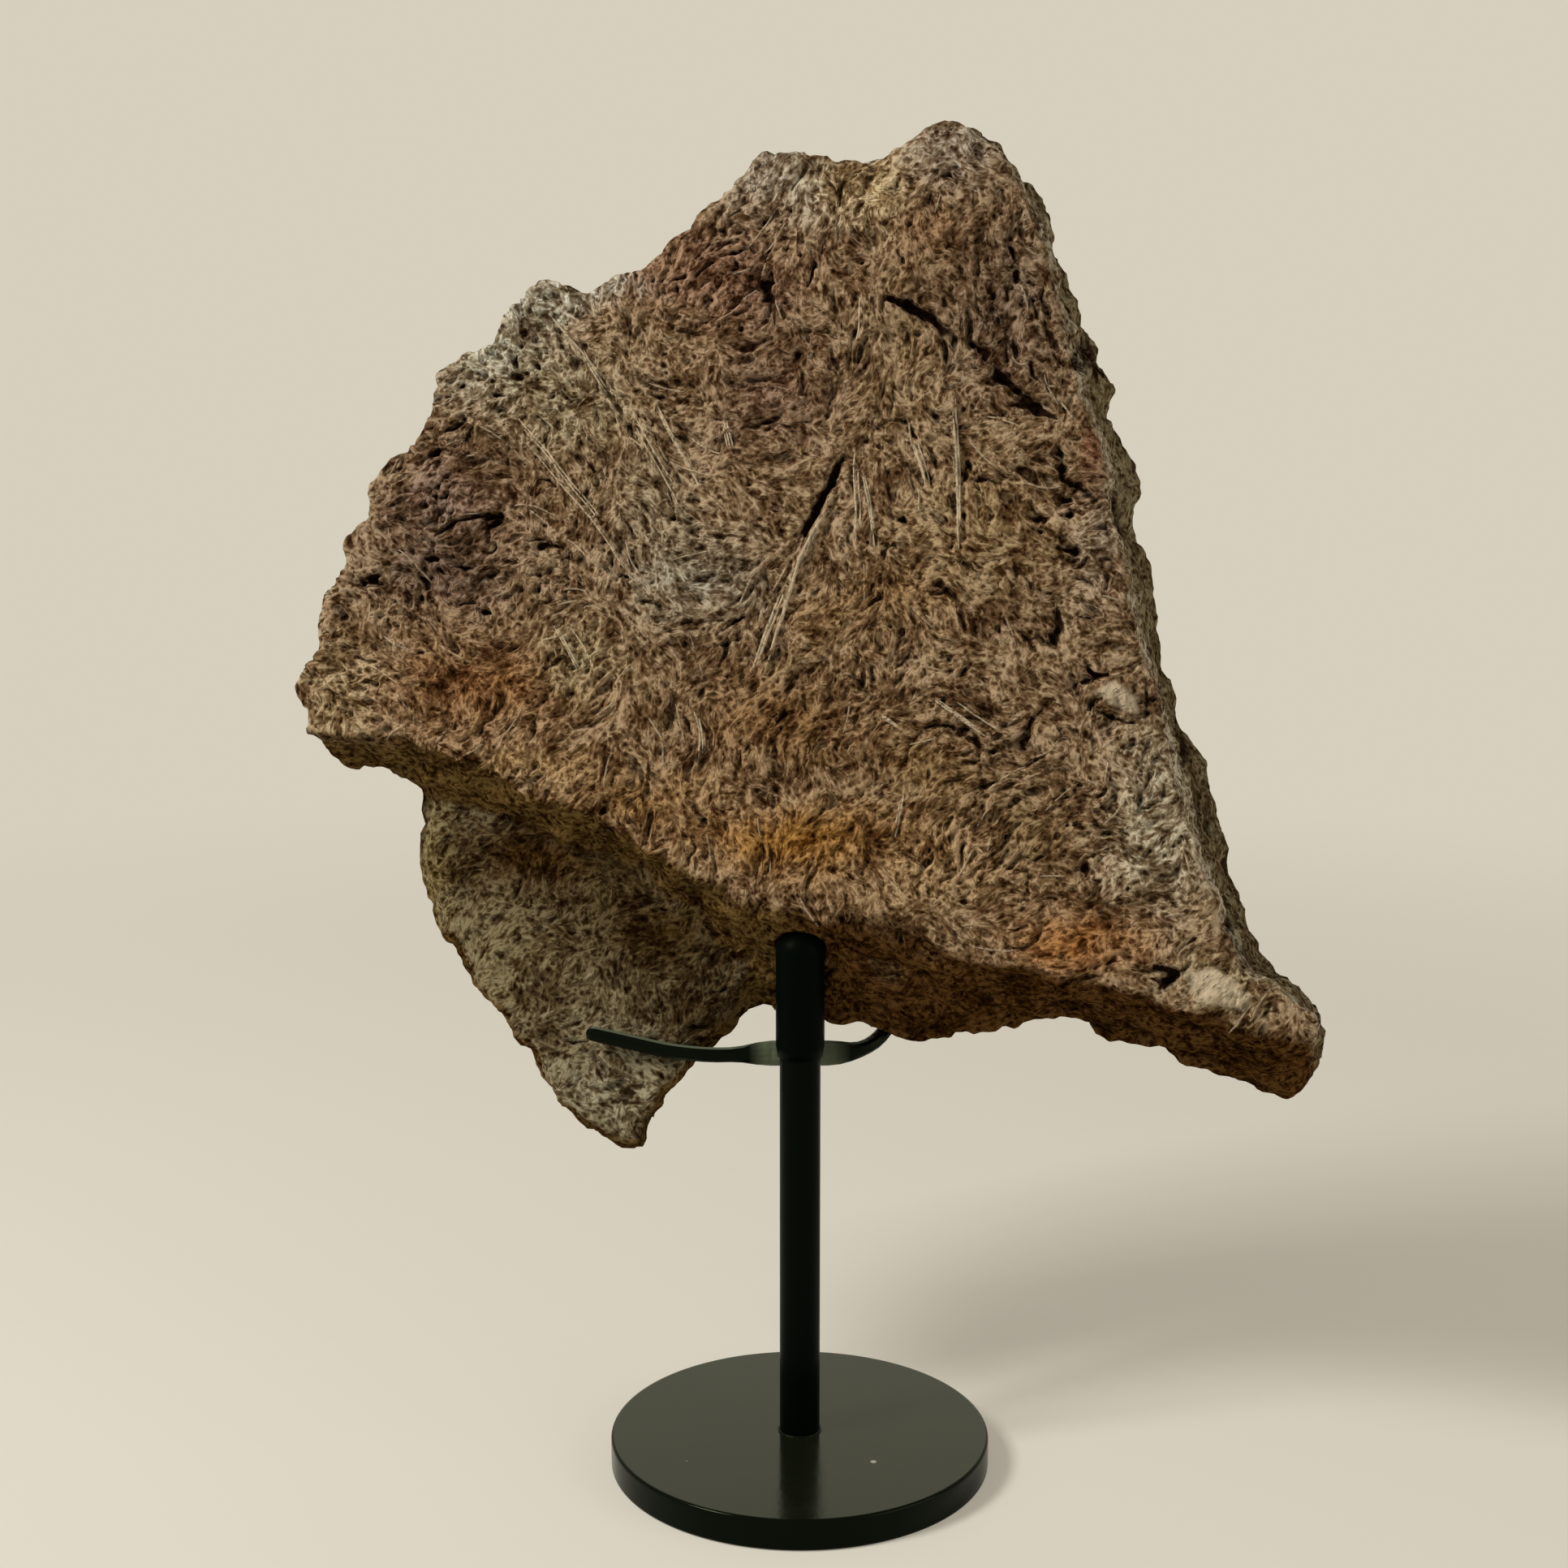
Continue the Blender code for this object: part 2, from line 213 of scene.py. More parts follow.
# %% [markdown]
# Frill bone is felted: bundles of mineral fibre a millimetre or two thick run in every direction, combed
# one way in one place and another way in the next. Two tools make that here. Soft noise gives lumps of a
# chosen size, and combing smears fine random grain along a field of directions, which leaves it as strands.

# %% Soft noise
NOISE_TABLE = 8191
HASH_FACTORS = np.array((73856093, 19349663, 83492791))


def soft_step(low, high, value):
    """0 below low, 1 above high, and a smooth change between."""
    share = np.clip((value - low) / (high - low), 0, 1)
    return share * share * (3 - 2 * share)


def soft_noise(places, size, seed):
    """Smooth random values from -1 to 1 at points in millimetres, with lumps of the given size."""
    table = np.random.default_rng(seed).uniform(-1, 1, NOISE_TABLE)
    corner = np.floor(places / size).astype(np.int64)
    share = soft_step(0, 1, places / size - corner)
    total = np.zeros(len(places))
    for step in np.ndindex(*(2,) * places.shape[1]):
        key = np.bitwise_xor.reduce((corner + step) * HASH_FACTORS[: places.shape[1]], axis=1)
        total += np.prod(np.where(step, share, 1 - share), axis=1) * table[key % NOISE_TABLE]
    return total


print("noise at three places:", soft_noise(5 * np.eye(3), 4, seed=1).round(2))

# %% [markdown]
# The direction of the fibres is set in places that stand out: a fan that runs down from the upper
# left, upright strands in the middle, flat rows beside the long groove, and combed bone above the ridge.

# %% Combed places
COMBED_PLACES = [
    # across, up, reach and angle from the across axis, in degrees
    (-66, 152, 26, -62),
    (-44, 132, 18, -60),
    (-92, 142, 20, -45),
    (-62, 108, 16, -48),
    (-30, 110, 20, 5),
    (-22, 140, 18, 14),
    (-34, 165, 16, 8),
    (14, 168, 14, 88),
    (16, 118, 13, 90),
    (-8, 100, 12, 62),
    (42, 125, 12, 90),
    (40, 96, 18, -30),
    (62, 92, 16, -42),
    (-10, 34, 26, 82),
    (-40, 30, 20, -58),
    (-84, 62, 24, 38),
    (-120, 110, 24, 4),
    (-128, 76, 18, -40),
    (60, 30, 22, 28),
    (88, 6, 20, 20),
    (8, 205, 22, 70),
    (52, 196, 18, -60),
    (-84, -20, 36, 52),
]
print(len(COMBED_PLACES), "combed places")

# %% [markdown]
# A chart, one cell for every 0.4 mm of the face, holds the directions. Away from the combed places they
# wander. Angles are stored doubled, because a fibre at 0 and one at 180 degrees are alike. The bone gets
# two layers of fibre: the lower one strays a little from the chart's direction, and the upper one crosses
# it at a slant.

# %% Which way the fibres run
CHART_STEP = 0.4
CHART_LOW = np.array((-176, -96))
CHART_HIGH = np.array((176, 256))
WANDER_SIZE = 26
WANDER_STRENGTH = 0.7
COMBED_STRENGTH = 1.6
STRAY_SIZE, STRAY_TURN = 9, 0.5
CROSSING_SIZE, CROSSING_TURN = 11, 1.5

chart_size = np.round((CHART_HIGH - CHART_LOW) / CHART_STEP).astype(int) + 1
steps_across, steps_up = [CHART_STEP * np.arange(count) for count in chart_size]
chart_across, chart_up = np.meshgrid(CHART_LOW[0] + steps_across, CHART_LOW[1] + steps_up)
chart_places = np.stack((chart_across.ravel(), chart_up.ravel()), 1)


def chart_noise(size, seed):
    """Soft noise on the cells of the chart."""
    return soft_noise(chart_places, size, seed).reshape(chart_up.shape)


def fibre_angle(places, seed):
    """The direction of the fibres at points across and up the face, in radians."""
    wander = [soft_noise(places, WANDER_SIZE, seed + number) for number in range(2)]
    turned = np.stack(wander, 1) * WANDER_STRENGTH
    for across, up, reach, angle in COMBED_PLACES:
        near = np.exp(-((places[:, 0] - across) ** 2 + (places[:, 1] - up) ** 2) / reach**2)
        double = math.radians(2 * angle)
        turned += near[:, None] * (math.cos(double), math.sin(double)) * COMBED_STRENGTH
    return np.arctan2(turned[:, 1], turned[:, 0]) / 2


under_angle = fibre_angle(chart_places, seed=11).reshape(chart_up.shape)
under_angle += STRAY_TURN * chart_noise(STRAY_SIZE, seed=16)
over_angle = under_angle + CROSSING_TURN * chart_noise(CROSSING_SIZE, seed=17)
print("chart of directions:", chart_up.shape)

# %% [markdown]
# Combing is the old trick called line integral convolution. From each cell of the chart it walks a few
# steps each way along the fibres and takes the mean of the random grain met on the walk. The strands that
# come out are as wide as the grain and as long as the walk. Two combings, one over the other, look woven.

# %% Combed strands
STRAND_PITCH = 2.4
STRAND_WALK = 15
STRAND_ROUNDNESS = 1.6
UPPER_LAYER = 0.94


def combed(angle, seed):
    """Random grain smeared along the directions: rounded strands from 0 in the gaps to 1 on their tops."""
    rows, columns = angle.shape
    grain = chart_noise(STRAND_PITCH, seed)
    total = grain.copy()
    for way in (1, -1):
        row, column = np.mgrid[0:rows, 0:columns].astype(float)
        step_across, step_up = way * np.cos(angle), way * np.sin(angle)
        for _ in range(STRAND_WALK):
            column = np.clip(column + step_across, 0, columns - 1)
            row = np.clip(row + step_up, 0, rows - 1)
            cell = (np.rint(row).astype(int), np.rint(column).astype(int))
            total += grain[cell]
            next_across, next_up = np.cos(angle[cell]), np.sin(angle[cell])
            same_way = np.where(next_across * step_across + next_up * step_up < 0, -1, 1)
            step_across, step_up = next_across * same_way, next_up * same_way
    return np.clip(1 - np.abs(total / total.std()) / STRAND_ROUNDNESS, 0, 1)


woven = np.maximum(combed(under_angle, seed=5), UPPER_LAYER * combed(over_angle, seed=6))
print(f"woven chart: mean {woven.mean():.2f}, spread {woven.std():.2f}")

# %% [markdown]
# On the real bone a few marks catch the eye at once. One long groove runs beside a raised strand in the
# middle, gashes cross the upper right, and short cracks run between them. Each is a short list of points
# across and up the face, with its width and its depth. Noise could only scatter such marks, so these are
# placed one by one.

# %% Grooves, gashes and cracks, listed
DENTS = [
    # width, depth, points
    (1.7, 4.6, [(9, 139), (4, 128), (0, 120), (-4, 113)]),
    (0.8, 1.3, [(-4, 113), (-9, 96), (-12, 84)]),
    (1.9, 4.4, [(19, 187), (27, 184), (33, 181), (40, 175)]),
    (1.8, 3.0, [(49, 172), (52, 168)]),
    (1.7, 4.4, [(53, 166), (61, 158), (67, 153), (74, 149)]),
    (1.6, 2.8, [(73, 143), (75, 132), (79, 130), (86, 125)]),
    (1.5, 2.6, [(48, 132), (52, 131), (57, 130)]),
    (1.1, 2.0, [(46, 151), (52, 150), (60, 151)]),
    (1.3, 1.8, [(17, 146), (21, 148), (28, 149)]),
    (1.2, 2.0, [(-25, 145), (-17, 148), (-10, 151)]),
    (1.2, 2.0, [(-2, 176), (6, 175)]),
    (1.1, 2.0, [(48, 200), (48, 193)]),
    (1.3, 1.8, [(-5, 203), (-1, 194)]),
    (1.3, 2.0, [(18, 93), (23, 95)]),
    (1.2, 2.0, [(61, 107), (62, 100)]),
    (0.9, 1.8, [(-44, 86), (-34, 87), (-23, 88), (-17, 84)]),
    (0.9, 1.8, [(-34, 79), (-26, 80), (-19, 83)]),
    (0.9, 1.6, [(18, 86), (27, 87)]),
    (1.8, 3.0, [(75, 95), (76, 88), (72, 81)]),
    (1.3, 2.2, [(45, 71), (50, 76)]),
    (1.4, 2.4, [(79, 70), (84, 71), (91, 74)]),
    (1.4, 2.4, [(84, 63), (93, 60), (100, 58)]),
    (0.9, 2.0, [(102, 73), (102, 60)]),
    (1.3, 1.4, [(79, 70), (75, 67), (69, 61), (65, 51), (62, 46)]),
    (1.2, 2.0, [(63, 51), (68, 60)]),
    (1.0, 1.9, [(30, 42), (32, 50), (36, 56), (43, 57), (50, 55), (53, 48), (53, 39)]),
    (1.4, 2.0, [(39, 58), (49, 53), (58, 47)]),
    (1.2, 1.9, [(7, 73), (15, 69), (21, 64)]),
    (1.0, 1.5, [(2, 53), (5, 57), (11, 58)]),
    (0.9, 1.3, [(-14, 58), (-3, 60)]),
    (0.9, 1.3, [(-20, 54), (-20, 42)]),
    (1.6, 1.6, [(79, 29), (74, 21), (69, 16)]),
    (1.3, 1.6, [(67, 16), (69, 4)]),
    (1.2, 2.0, [(111, 0), (111, -6)]),
    (2.2, 3.4, [(106, -13), (112, -15), (108, -21)]),
    (0.9, 1.4, [(-122, 150), (-121, 130), (-120, 104)]),
    (1.3, 2.4, [(-120, 114), (-108, 118), (-99, 120)]),
    (1.0, 1.8, [(-103, 117), (-103, 109)]),
    (1.1, 1.7, [(-87, 109), (-77, 109), (-77, 93), (-86, 92), (-87, 109)]),
    (1.1, 1.9, [(-60, 151), (-52, 135)]),
    (1.0, 1.8, [(-108, 143), (-98, 143), (-98, 135), (-89, 130)]),
    (1.8, 2.4, [(-146, 96), (-136, 100)]),
    (1.4, 2.2, [(-152, 77), (-144, 76)]),
]
print(len(DENTS), "dents placed by eye")

# %% [markdown]
# Loose strands stand out as pale lines: the one beside the long groove, a row of upright ones to its right,
# and a fan that runs down from the upper left.

# %% Strands, listed
STRANDS = [
    # width, height, points
    (1.9, 1.6, [(7, 128), (-4, 106), (-11, 82), (-16, 64)]),
    (1.6, 1.3, [(-5, 107), (-13, 84), (-19, 66)]),
    (1.1, 1.2, [(12, 142), (13, 128), (14, 106)]),
    (1.1, 1.2, [(14, 138), (17, 124), (20, 106)]),
    (1.2, 1.3, [(41, 160), (43, 139), (44, 119), (45, 104)]),
    (1.1, 1.0, [(13, 190), (13, 178), (10, 166)]),
    (1.1, 1.3, [(-104, 155), (-88, 138), (-68, 117), (-45, 84)]),
    (1.0, 1.0, [(-100, 154), (-84, 137), (-62, 112)]),
    (1.1, 1.1, [(-87, 183), (-66, 160)]),
    (1.2, 1.3, [(-81, 178), (-67, 156), (-52, 135)]),
    (1.1, 1.1, [(-77, 174), (-62, 150)]),
    (1.1, 1.1, [(-71, 164), (-55, 135)]),
    (1.1, 1.2, [(-66, 160), (-46, 128)]),
    (1.1, 1.1, [(-60, 153), (-39, 118)]),
    (1.2, 1.2, [(-53, 159), (-33, 125)]),
    (1.0, 1.0, [(-29, 150), (-26, 138)]),
    (1.1, 1.1, [(-81, 87), (-76, 78), (-71, 69)]),
    (1.1, 0.9, [(-77, 88), (-71, 80), (-66, 70)]),
    (1.1, 0.9, [(28, 148), (33, 136), (35, 126)]),
    (1.1, 1.0, [(36, 66), (48, 58), (58, 51)]),
    (1.1, 1.0, [(42, 67), (52, 60), (62, 54)]),
    (1.1, 0.9, [(30, 37), (27, 21)]),
    (1.0, 0.9, [(20, 61), (30, 54)]),
    (1.1, 0.9, [(-36, 62), (-32, 50), (-34, 40)]),
]
print(len(STRANDS), "strands placed by eye")

# %% [markdown]
# Two chips of bone stand proud, one near the right edge and one at the lower right, and the larger holes
# are where blood vessels came out. In some places the bone is spongy, with many small holes, and in others
# it is full of short cracks.

# %% Chips, holes, spongy and cracked places
CHIPS = [
    # height, corners
    (2.6, [(85, 68), (93, 72), (100, 67), (100, 61), (93, 63)]),
    (2.0, [(113, -14), (125, -12), (135, -20), (133, -26), (118, -24)]),
]
HOLES = [
    # across, up, radius and depth
    (59, 193, 2.2, 3.4),
    (63, 192, 1.6, 2.4),
    (-18, 190, 2.6, 4.2),
    (-16, 186, 2.0, 3.4),
    (27, 119, 1.6, 3.0),
    (15, 143, 1.1, 2.2),
    (26, 222, 1.3, 2.2),
    (40, 225, 1.3, 2.2),
    (-3, 176, 1.1, 2.0),
    (79, 110, 1.8, 3.0),
    (77, 122, 1.4, 2.4),
    (-49, 169, 1.6, 2.6),
    (-90, 174, 1.2, 2.0),
    (-94, 122, 1.4, 2.0),
    (42, 65, 1.3, 2.0),
    (85, 64, 1.4, 2.4),
    (-75, 64, 1.6, 2.4),
    (-138, 65, 1.4, 2.0),
    (-150, 86, 1.8, 2.8),
    (-124, 122, 1.5, 2.4),
    (-132, 84, 1.4, 2.2),
    (92, 26, 1.3, 2.0),
]
SPONGY_PLACES = [
    # across, up, reach and number of extra holes
    (-32, 196, 12, 90),
    (-98, 172, 12, 50),
    (58, 190, 14, 60),
    (92, 24, 14, 70),
    (-118, 100, 14, 60),
]
CRACKED_PLACES = [
    # across, up, reach and number of extra cracks
    (-116, 112, 18, 45),
    (-72, 140, 20, 30),
    (-34, 190, 14, 20),
    (60, 184, 14, 25),
    (78, 110, 16, 25),
    (66, 30, 18, 15),
]
print(f"{len(CHIPS)} chips and {len(HOLES)} holes placed by eye")

# %% [markdown]
# The many small holes, cracks and loose strands between those marks have no order, so a seeded random
# choice scatters them. Cracks and strands start anywhere and then follow the fibres, as they do in real
# bone.

# %% Scattered marks
HOLE_COUNT = 900
CRACK_COUNT = 200
WISP_COUNT = 300
MARGIN = 12
STEP_LENGTH = 3

luck = np.random.default_rng(40)


def on_chart(chart, across, up):
    """Values of a chart at points across and up the face, blended between its cells."""
    column = np.clip((across - CHART_LOW[0]) / CHART_STEP, 0, chart_size[0] - 1.001)
    row = np.clip((up - CHART_LOW[1]) / CHART_STEP, 0, chart_size[1] - 1.001)
    left, low = column.astype(int), row.astype(int)
    x, y = column - left, row - low
    return (
        chart[low, left] * (1 - x) * (1 - y)
        + chart[low, left + 1] * x * (1 - y)
        + chart[low + 1, left] * (1 - x) * y
        + chart[low + 1, left + 1] * x * y
    )


def follow_fibres(start, length, turn):
    """Points along the fibres from a start, a few millimetres apart, turned a little off the fibres."""
    points = [np.array(start)]
    for _ in range(max(2, round(length / STEP_LENGTH))):
        angle = on_chart(under_angle, *points[-1][:, None])[0] + turn
        points.append(points[-1] + STEP_LENGTH * np.array((math.cos(angle), math.sin(angle))))
    return points


def lines_from(starts, widths, heights, lengths, turns):
    """Random short lines that follow the fibres from some starts: width, height and points of each."""
    return [
        (
            luck.uniform(*widths),
            luck.uniform(*heights),
            follow_fibres(start, luck.uniform(*lengths), luck.uniform(*turns)),
        )
        for start in starts
    ]


def holes_at(places, radii, depths):
    """Holes of random size at some places: across, up, radius and depth of each."""
    return [(*place, luck.uniform(*radii), luck.uniform(*depths)) for place in places]


crack_starts = list(luck.uniform(CHART_LOW + MARGIN, CHART_HIGH - MARGIN, (CRACK_COUNT, 2)))
for across, up, reach, count in CRACKED_PLACES:
    crack_starts += list(luck.normal((across, up), reach, (count, 2)))
wisp_starts = luck.uniform(CHART_LOW + MARGIN, CHART_HIGH - MARGIN, (WISP_COUNT, 2))
cracks = lines_from(crack_starts, widths=(0.6, 1.3), heights=(1.0, 2.6), lengths=(3, 10), turns=(-0.6, 0.6))
wisps = lines_from(wisp_starts, widths=(0.8, 1.1), heights=(0.4, 0.9), lengths=(6, 17), turns=(-0.5, 0.5))
anywhere = (luck.uniform(CHART_LOW, CHART_HIGH) for _ in range(HOLE_COUNT))
pores = holes_at(anywhere, radii=(0.6, 1.3), depths=(0.8, 2.0))
for across, up, reach, count in SPONGY_PLACES:
    pores += holes_at(luck.normal((across, up), reach, (count, 2)), radii=(0.7, 1.2), depths=(1.0, 2.4))
print(f"scattered: {len(cracks)} cracks, {len(wisps)} strands, {len(pores)} holes")

# %% [markdown]
# All marks are drawn once on a second chart, as heights in millimetres. A mark only touches the cells near
# it, so hundreds of them cost little. Three helpers find the cells near a mark, and how far each lies from
# a line or inside an outline.


# %% Distances on the chart
def window(points, margin):
    """The rows and columns of the chart within a margin of some points."""
    low = np.floor((np.min(points, 0) - margin - CHART_LOW) / CHART_STEP).astype(int)
    high = np.ceil((np.max(points, 0) + margin - CHART_LOW) / CHART_STEP).astype(int)
    low, high = np.clip(low, 0, chart_size - 1), np.clip(high, 0, chart_size - 1)
    return np.s_[low[1] : high[1] + 1, low[0] : high[0] + 1]


def distance_to_line(points, part):
    """From the cells in a window to a line of points: the distance, and how far along it, 0 to 1."""
    across, up = chart_across[part], chart_up[part]
    nearest = np.full(across.shape, 1e9)
    along = np.zeros(across.shape)
    points = np.array(points, float)
    lengths = np.linalg.norm(np.diff(points, axis=0), axis=1)
    walked = np.concatenate(((0,), np.cumsum(lengths)))
    for start, end, length, before in zip(points, points[1:], lengths, walked):
        side = (end - start) / length
        share = np.clip((across - start[0]) * side[0] + (up - start[1]) * side[1], 0, length)
        gap = np.hypot(across - start[0] - share * side[0], up - start[1] - share * side[1])
        along = np.where(gap < nearest, (before + share) / walked[-1], along)
        nearest = np.minimum(gap, nearest)
    return nearest, along


def inside(corners, part):
    """How far the chart's cells lie inside a convex or nearly convex outline; negative outside."""
    corners = np.array(corners, float)
    turn = np.sign(np.cross(corners[1] - corners[0], corners[2] - corners[1]))
    depth = np.full(chart_up[part].shape, 1e9)
    for start, end in zip(corners, np.roll(corners, -1, 0)):
        side = (end - start) / np.linalg.norm(end - start)
        offset = (chart_up[part] - start[1]) * side[0] - (chart_across[part] - start[0]) * side[1]
        depth = np.minimum(depth, offset * turn)
    return depth


middle_cells = window([(0, 100)], margin=5)
print("cells within 5 mm of the middle:", chart_up[middle_cells].size)

# %% [markdown]
# A cut in old bone is never straight: the chart's own coordinates are first pushed about by noise, so every
# line drawn on it comes out ragged. A strand is drawn with a shallow trough on both sides, which sets it
# off, and a chip as a low plateau with steep sides.

# %% The chart of heights
RAGGEDNESS = ((7, 0.7, 0), (2.4, 0.6, 2))
LINE_STEEPNESS = 2
LINE_END = 0.15
TROUGH_WIDTH, TROUGH_DEPTH = 2.3, 0.8
STRAND_RISE = 1.6
HOLE_STEEPNESS = 1.5
CHIP_SIDE = (-0.5, 3.5)

for chart, seed in ((chart_across, 21), (chart_up, 22)):
    for size, distance, later in RAGGEDNESS:
        chart += distance * chart_noise(size, seed + later)


def draw_line(chart, width, height, points):
    """Raise or lower the chart along a line, with a rounded section that fades out at both ends."""
    part = window(points, 3 * width)
    gap, along = distance_to_line(points, part)
    fade = np.sqrt(np.clip(4 * along * (1 - along), 0, 1))
    section = np.exp(-((gap / width) ** 2) * LINE_STEEPNESS)
    chart[part] += height * section * (LINE_END + (1 - LINE_END) * fade)


marks = np.zeros(chart_up.shape)
for width, depth, points in DENTS + cracks:
    draw_line(marks, width, -depth, points)
for width, height, points in STRANDS + wisps:
    draw_line(marks, TROUGH_WIDTH * width, -TROUGH_DEPTH * height, points)
    draw_line(marks, width, STRAND_RISE * height, points)
for across, up, radius, depth in HOLES + pores:
    part = window([(across, up)], 3 * radius)
    gap = np.hypot(chart_across[part] - across, chart_up[part] - up)
    marks[part] -= depth * np.exp(-((gap / radius) ** 2) * HOLE_STEEPNESS)
for height, corners in CHIPS:
    part = window(corners, 3)
    marks[part] += height * np.sqrt(soft_step(*CHIP_SIDE, inside(corners, part)))
print(f"marks reach from {marks.min():.1f} to {marks.max():.1f} mm")

# %% [markdown]
# Nothing may grow outwards where the bone touches the stand. This cell measures how much room each point
# has round the sleeve and from the rod.

# %% Room for the stand
TOUCHING = 0.3
STAND_CLEARANCE = 4
POINTS_AT_A_TIME = 4000

rod_points = read(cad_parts["cradle_rod"].data, "co", "vertices", 3) / MM


def room(points):
    """0 where the bone touches the stand, 1 a few millimetres away from it; points in metres."""
    places = points / MM
    sleeve_radius = (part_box("sleeve")[1].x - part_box("sleeve")[0].x) / 2 / MM
    free = np.hypot(places[:, 0], places[:, 1]) - sleeve_radius
    free[places[:, 2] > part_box("sleeve")[1].z / MM + STAND_CLEARANCE] = STAND_CLEARANCE
    low, high = rod_points.min(0) - STAND_CLEARANCE, rod_points.max(0) + STAND_CLEARANCE
    near = np.flatnonzero(np.all((places > low) & (places < high), axis=1))
    for chunk in np.array_split(near, len(near) // POINTS_AT_A_TIME + 1):
        gaps = np.linalg.norm(places[chunk][:, None] - rod_points[None], axis=2).min(1)
        free[chunk] = np.minimum(free[chunk], gaps)
    return soft_step(TOUCHING, STAND_CLEARANCE, free)


free_to_rise = room(bone_points)
print((free_to_rise < 1).sum(), "points of the bone lie close to the stand")

# %% [markdown]
# Which way the smooth slab faces at a point tells whether it belongs to the front, the back or a broken
# edge. The lobe at the lower left is a lower layer of bone, so it is known by how far back it lies.

# %% Front, back, edge and lobe
FACE_FROM, FACE_TO = 0.45, 0.85
BOW_DEPTH = 6
BOW_HALF_WIDTH = 155
LOBE_FROM, LOBE_TO = 8, 14


def facing(normals):
    """How far each point belongs to the front face, to the back face and to a broken edge."""
    front = soft_step(FACE_FROM, FACE_TO, -normals[:, 1])
    back = soft_step(FACE_FROM, FACE_TO, normals[:, 1])
    return front, back, 1 - front - back


def on_lobe(places):
    """1 on the set-back lobe below the ridge, 0 on the main face; the slab's bow is taken off first."""
    return soft_step(LOBE_FROM, LOBE_TO, places[:, 1] - BOW_DEPTH * (places[:, 0] / BOW_HALF_WIDTH) ** 2)


bone_normals = read(bone_mesh, "normal", "vertices", 3) @ slab_axes
print("shares of front, back and edge:", [f"{side.mean():.2f}" for side in facing(bone_normals)])

# %% [markdown]
# The front and the back read the same charts, the back shifted so that nothing repeats in sight. On the
# broken edges, where no outer surface is left, the bone is coarse and crumbly: lumps and pits of a few
# millimetres with no direction. Broad hummocks run under it all.

# %% Move the fossil's points
BUNDLE_HEIGHT = 2.4
WEAVE_MIDDLE = 0.7
HUMMOCKS = ((24, 1.3, 31), (9, 1.1, 32), (4.5, 0.6, 33))
CRUMBLE = ((16, 1.5, 41), (7, 1.4, 42), (3.2, 0.8, 43), (1.9, 0.4, 44))
BACK_SHIFT = 23
BACK_MARKS = 0.7
LOBE_CALM = 0.5


def relief(places, normals):
    """The height of the surface over its smooth shape, in millimetres, at points on the slab's axes."""
    front, back, edge = facing(normals)
    across, up = places[:, 0], places[:, 2]
    height = BUNDLE_HEIGHT * (on_chart(woven, across, up) - WEAVE_MIDDLE) + on_chart(marks, across, up)
    height = front * height * (1 - LOBE_CALM * on_lobe(places))
    height += back * BUNDLE_HEIGHT * (on_chart(woven, -across, up + BACK_SHIFT) - WEAVE_MIDDLE)
    height += back * BACK_MARKS * on_chart(marks, -across, up - BACK_SHIFT)
    for share, lumps in ((1 - edge, HUMMOCKS), (edge, CRUMBLE)):
        for size, rise, seed in lumps:
            height += share * rise * soft_noise(places, size, seed)
    return height


rise = relief(to_slab(bone_points), bone_normals)
rise = np.minimum(rise, 0) + np.maximum(rise, 0) * free_to_rise
bone_points += rise[:, None] * (bone_normals @ slab_axes.T) * MM
bone_mesh.vertices.foreach_set("co", bone_points.astype(np.float32).ravel())
bone_mesh.update()
print(f"relief from {rise.min():.1f} to {rise.max():.1f} mm")

# %% [markdown]
# The fine mesh has over a million triangles, far more than the broad back needs. A decimation brings it
# under 200,000: it keeps its triangles where the surface bends, and a vertex group keeps more of them on
# the front.

# %% Fewer triangles
MOST_TRIANGLES = 196000
COARSENESS = {"front": 0.3, "back": 1.0, "edge": 0.5}

main_side = np.stack(facing(bone_normals), 1).argmax(1)
group = fossil.vertex_groups.new(name="may be coarse")
for side, weight in enumerate(COARSENESS.values()):
    group.add(np.flatnonzero(main_side == side).tolist(), weight, "REPLACE")
decimate = fossil.modifiers.new("fewer triangles", "DECIMATE")
decimate.ratio = MOST_TRIANGLES / sum(len(face.vertices) - 2 for face in bone_mesh.polygons)
decimate.use_collapse_triangulate = True
decimate.vertex_group = group.name
decimate.vertex_group_factor = 1
bone_mesh = worked_in(fossil)
fossil.vertex_groups.clear()
bone_mesh.shade_smooth()
bone_points = read(bone_mesh, "co", "vertices", 3).astype(float)
bone_normals = read(bone_mesh, "normal", "vertices", 3) @ slab_axes
print(f"fossil: {len(bone_mesh.polygons)} triangles")

# %% [markdown]
# The longest fibres stand free of the surface as pale strands a millimetre thick. They are too crisp for
# the mesh, so each is a thin tube of its own that lies on the bone. Its line is first cut into even steps,
# and a ray sent through the face finds the surface under each of them.

# %% Lines on the surface
TUBE_STEP = 1.6
ROUNDING_ROUNDS = 6
RAY_FROM = -60
RAY_LENGTH = 140 * MM
LEAST_FACING = 0.35


def evenly(points, step):
    """Points at even steps along a line of points, with its corners rounded."""
    step = min(step, 0.3 * np.linalg.norm(np.subtract(points[-1], points[0])))
    points = np.array(points, float)
    walked = np.concatenate(((0,), np.cumsum(np.linalg.norm(np.diff(points, axis=0), axis=1))))
    stops = np.linspace(0, walked[-1], max(4, round(walked[-1] / step)))
    line = np.stack([np.interp(stops, walked, points[:, axis]) for axis in (0, 1)], 1)
    for _ in range(ROUNDING_ROUNDS):
        line[1:-1] = (line[:-2] + 2 * line[1:-1] + line[2:]) / 4
    return line


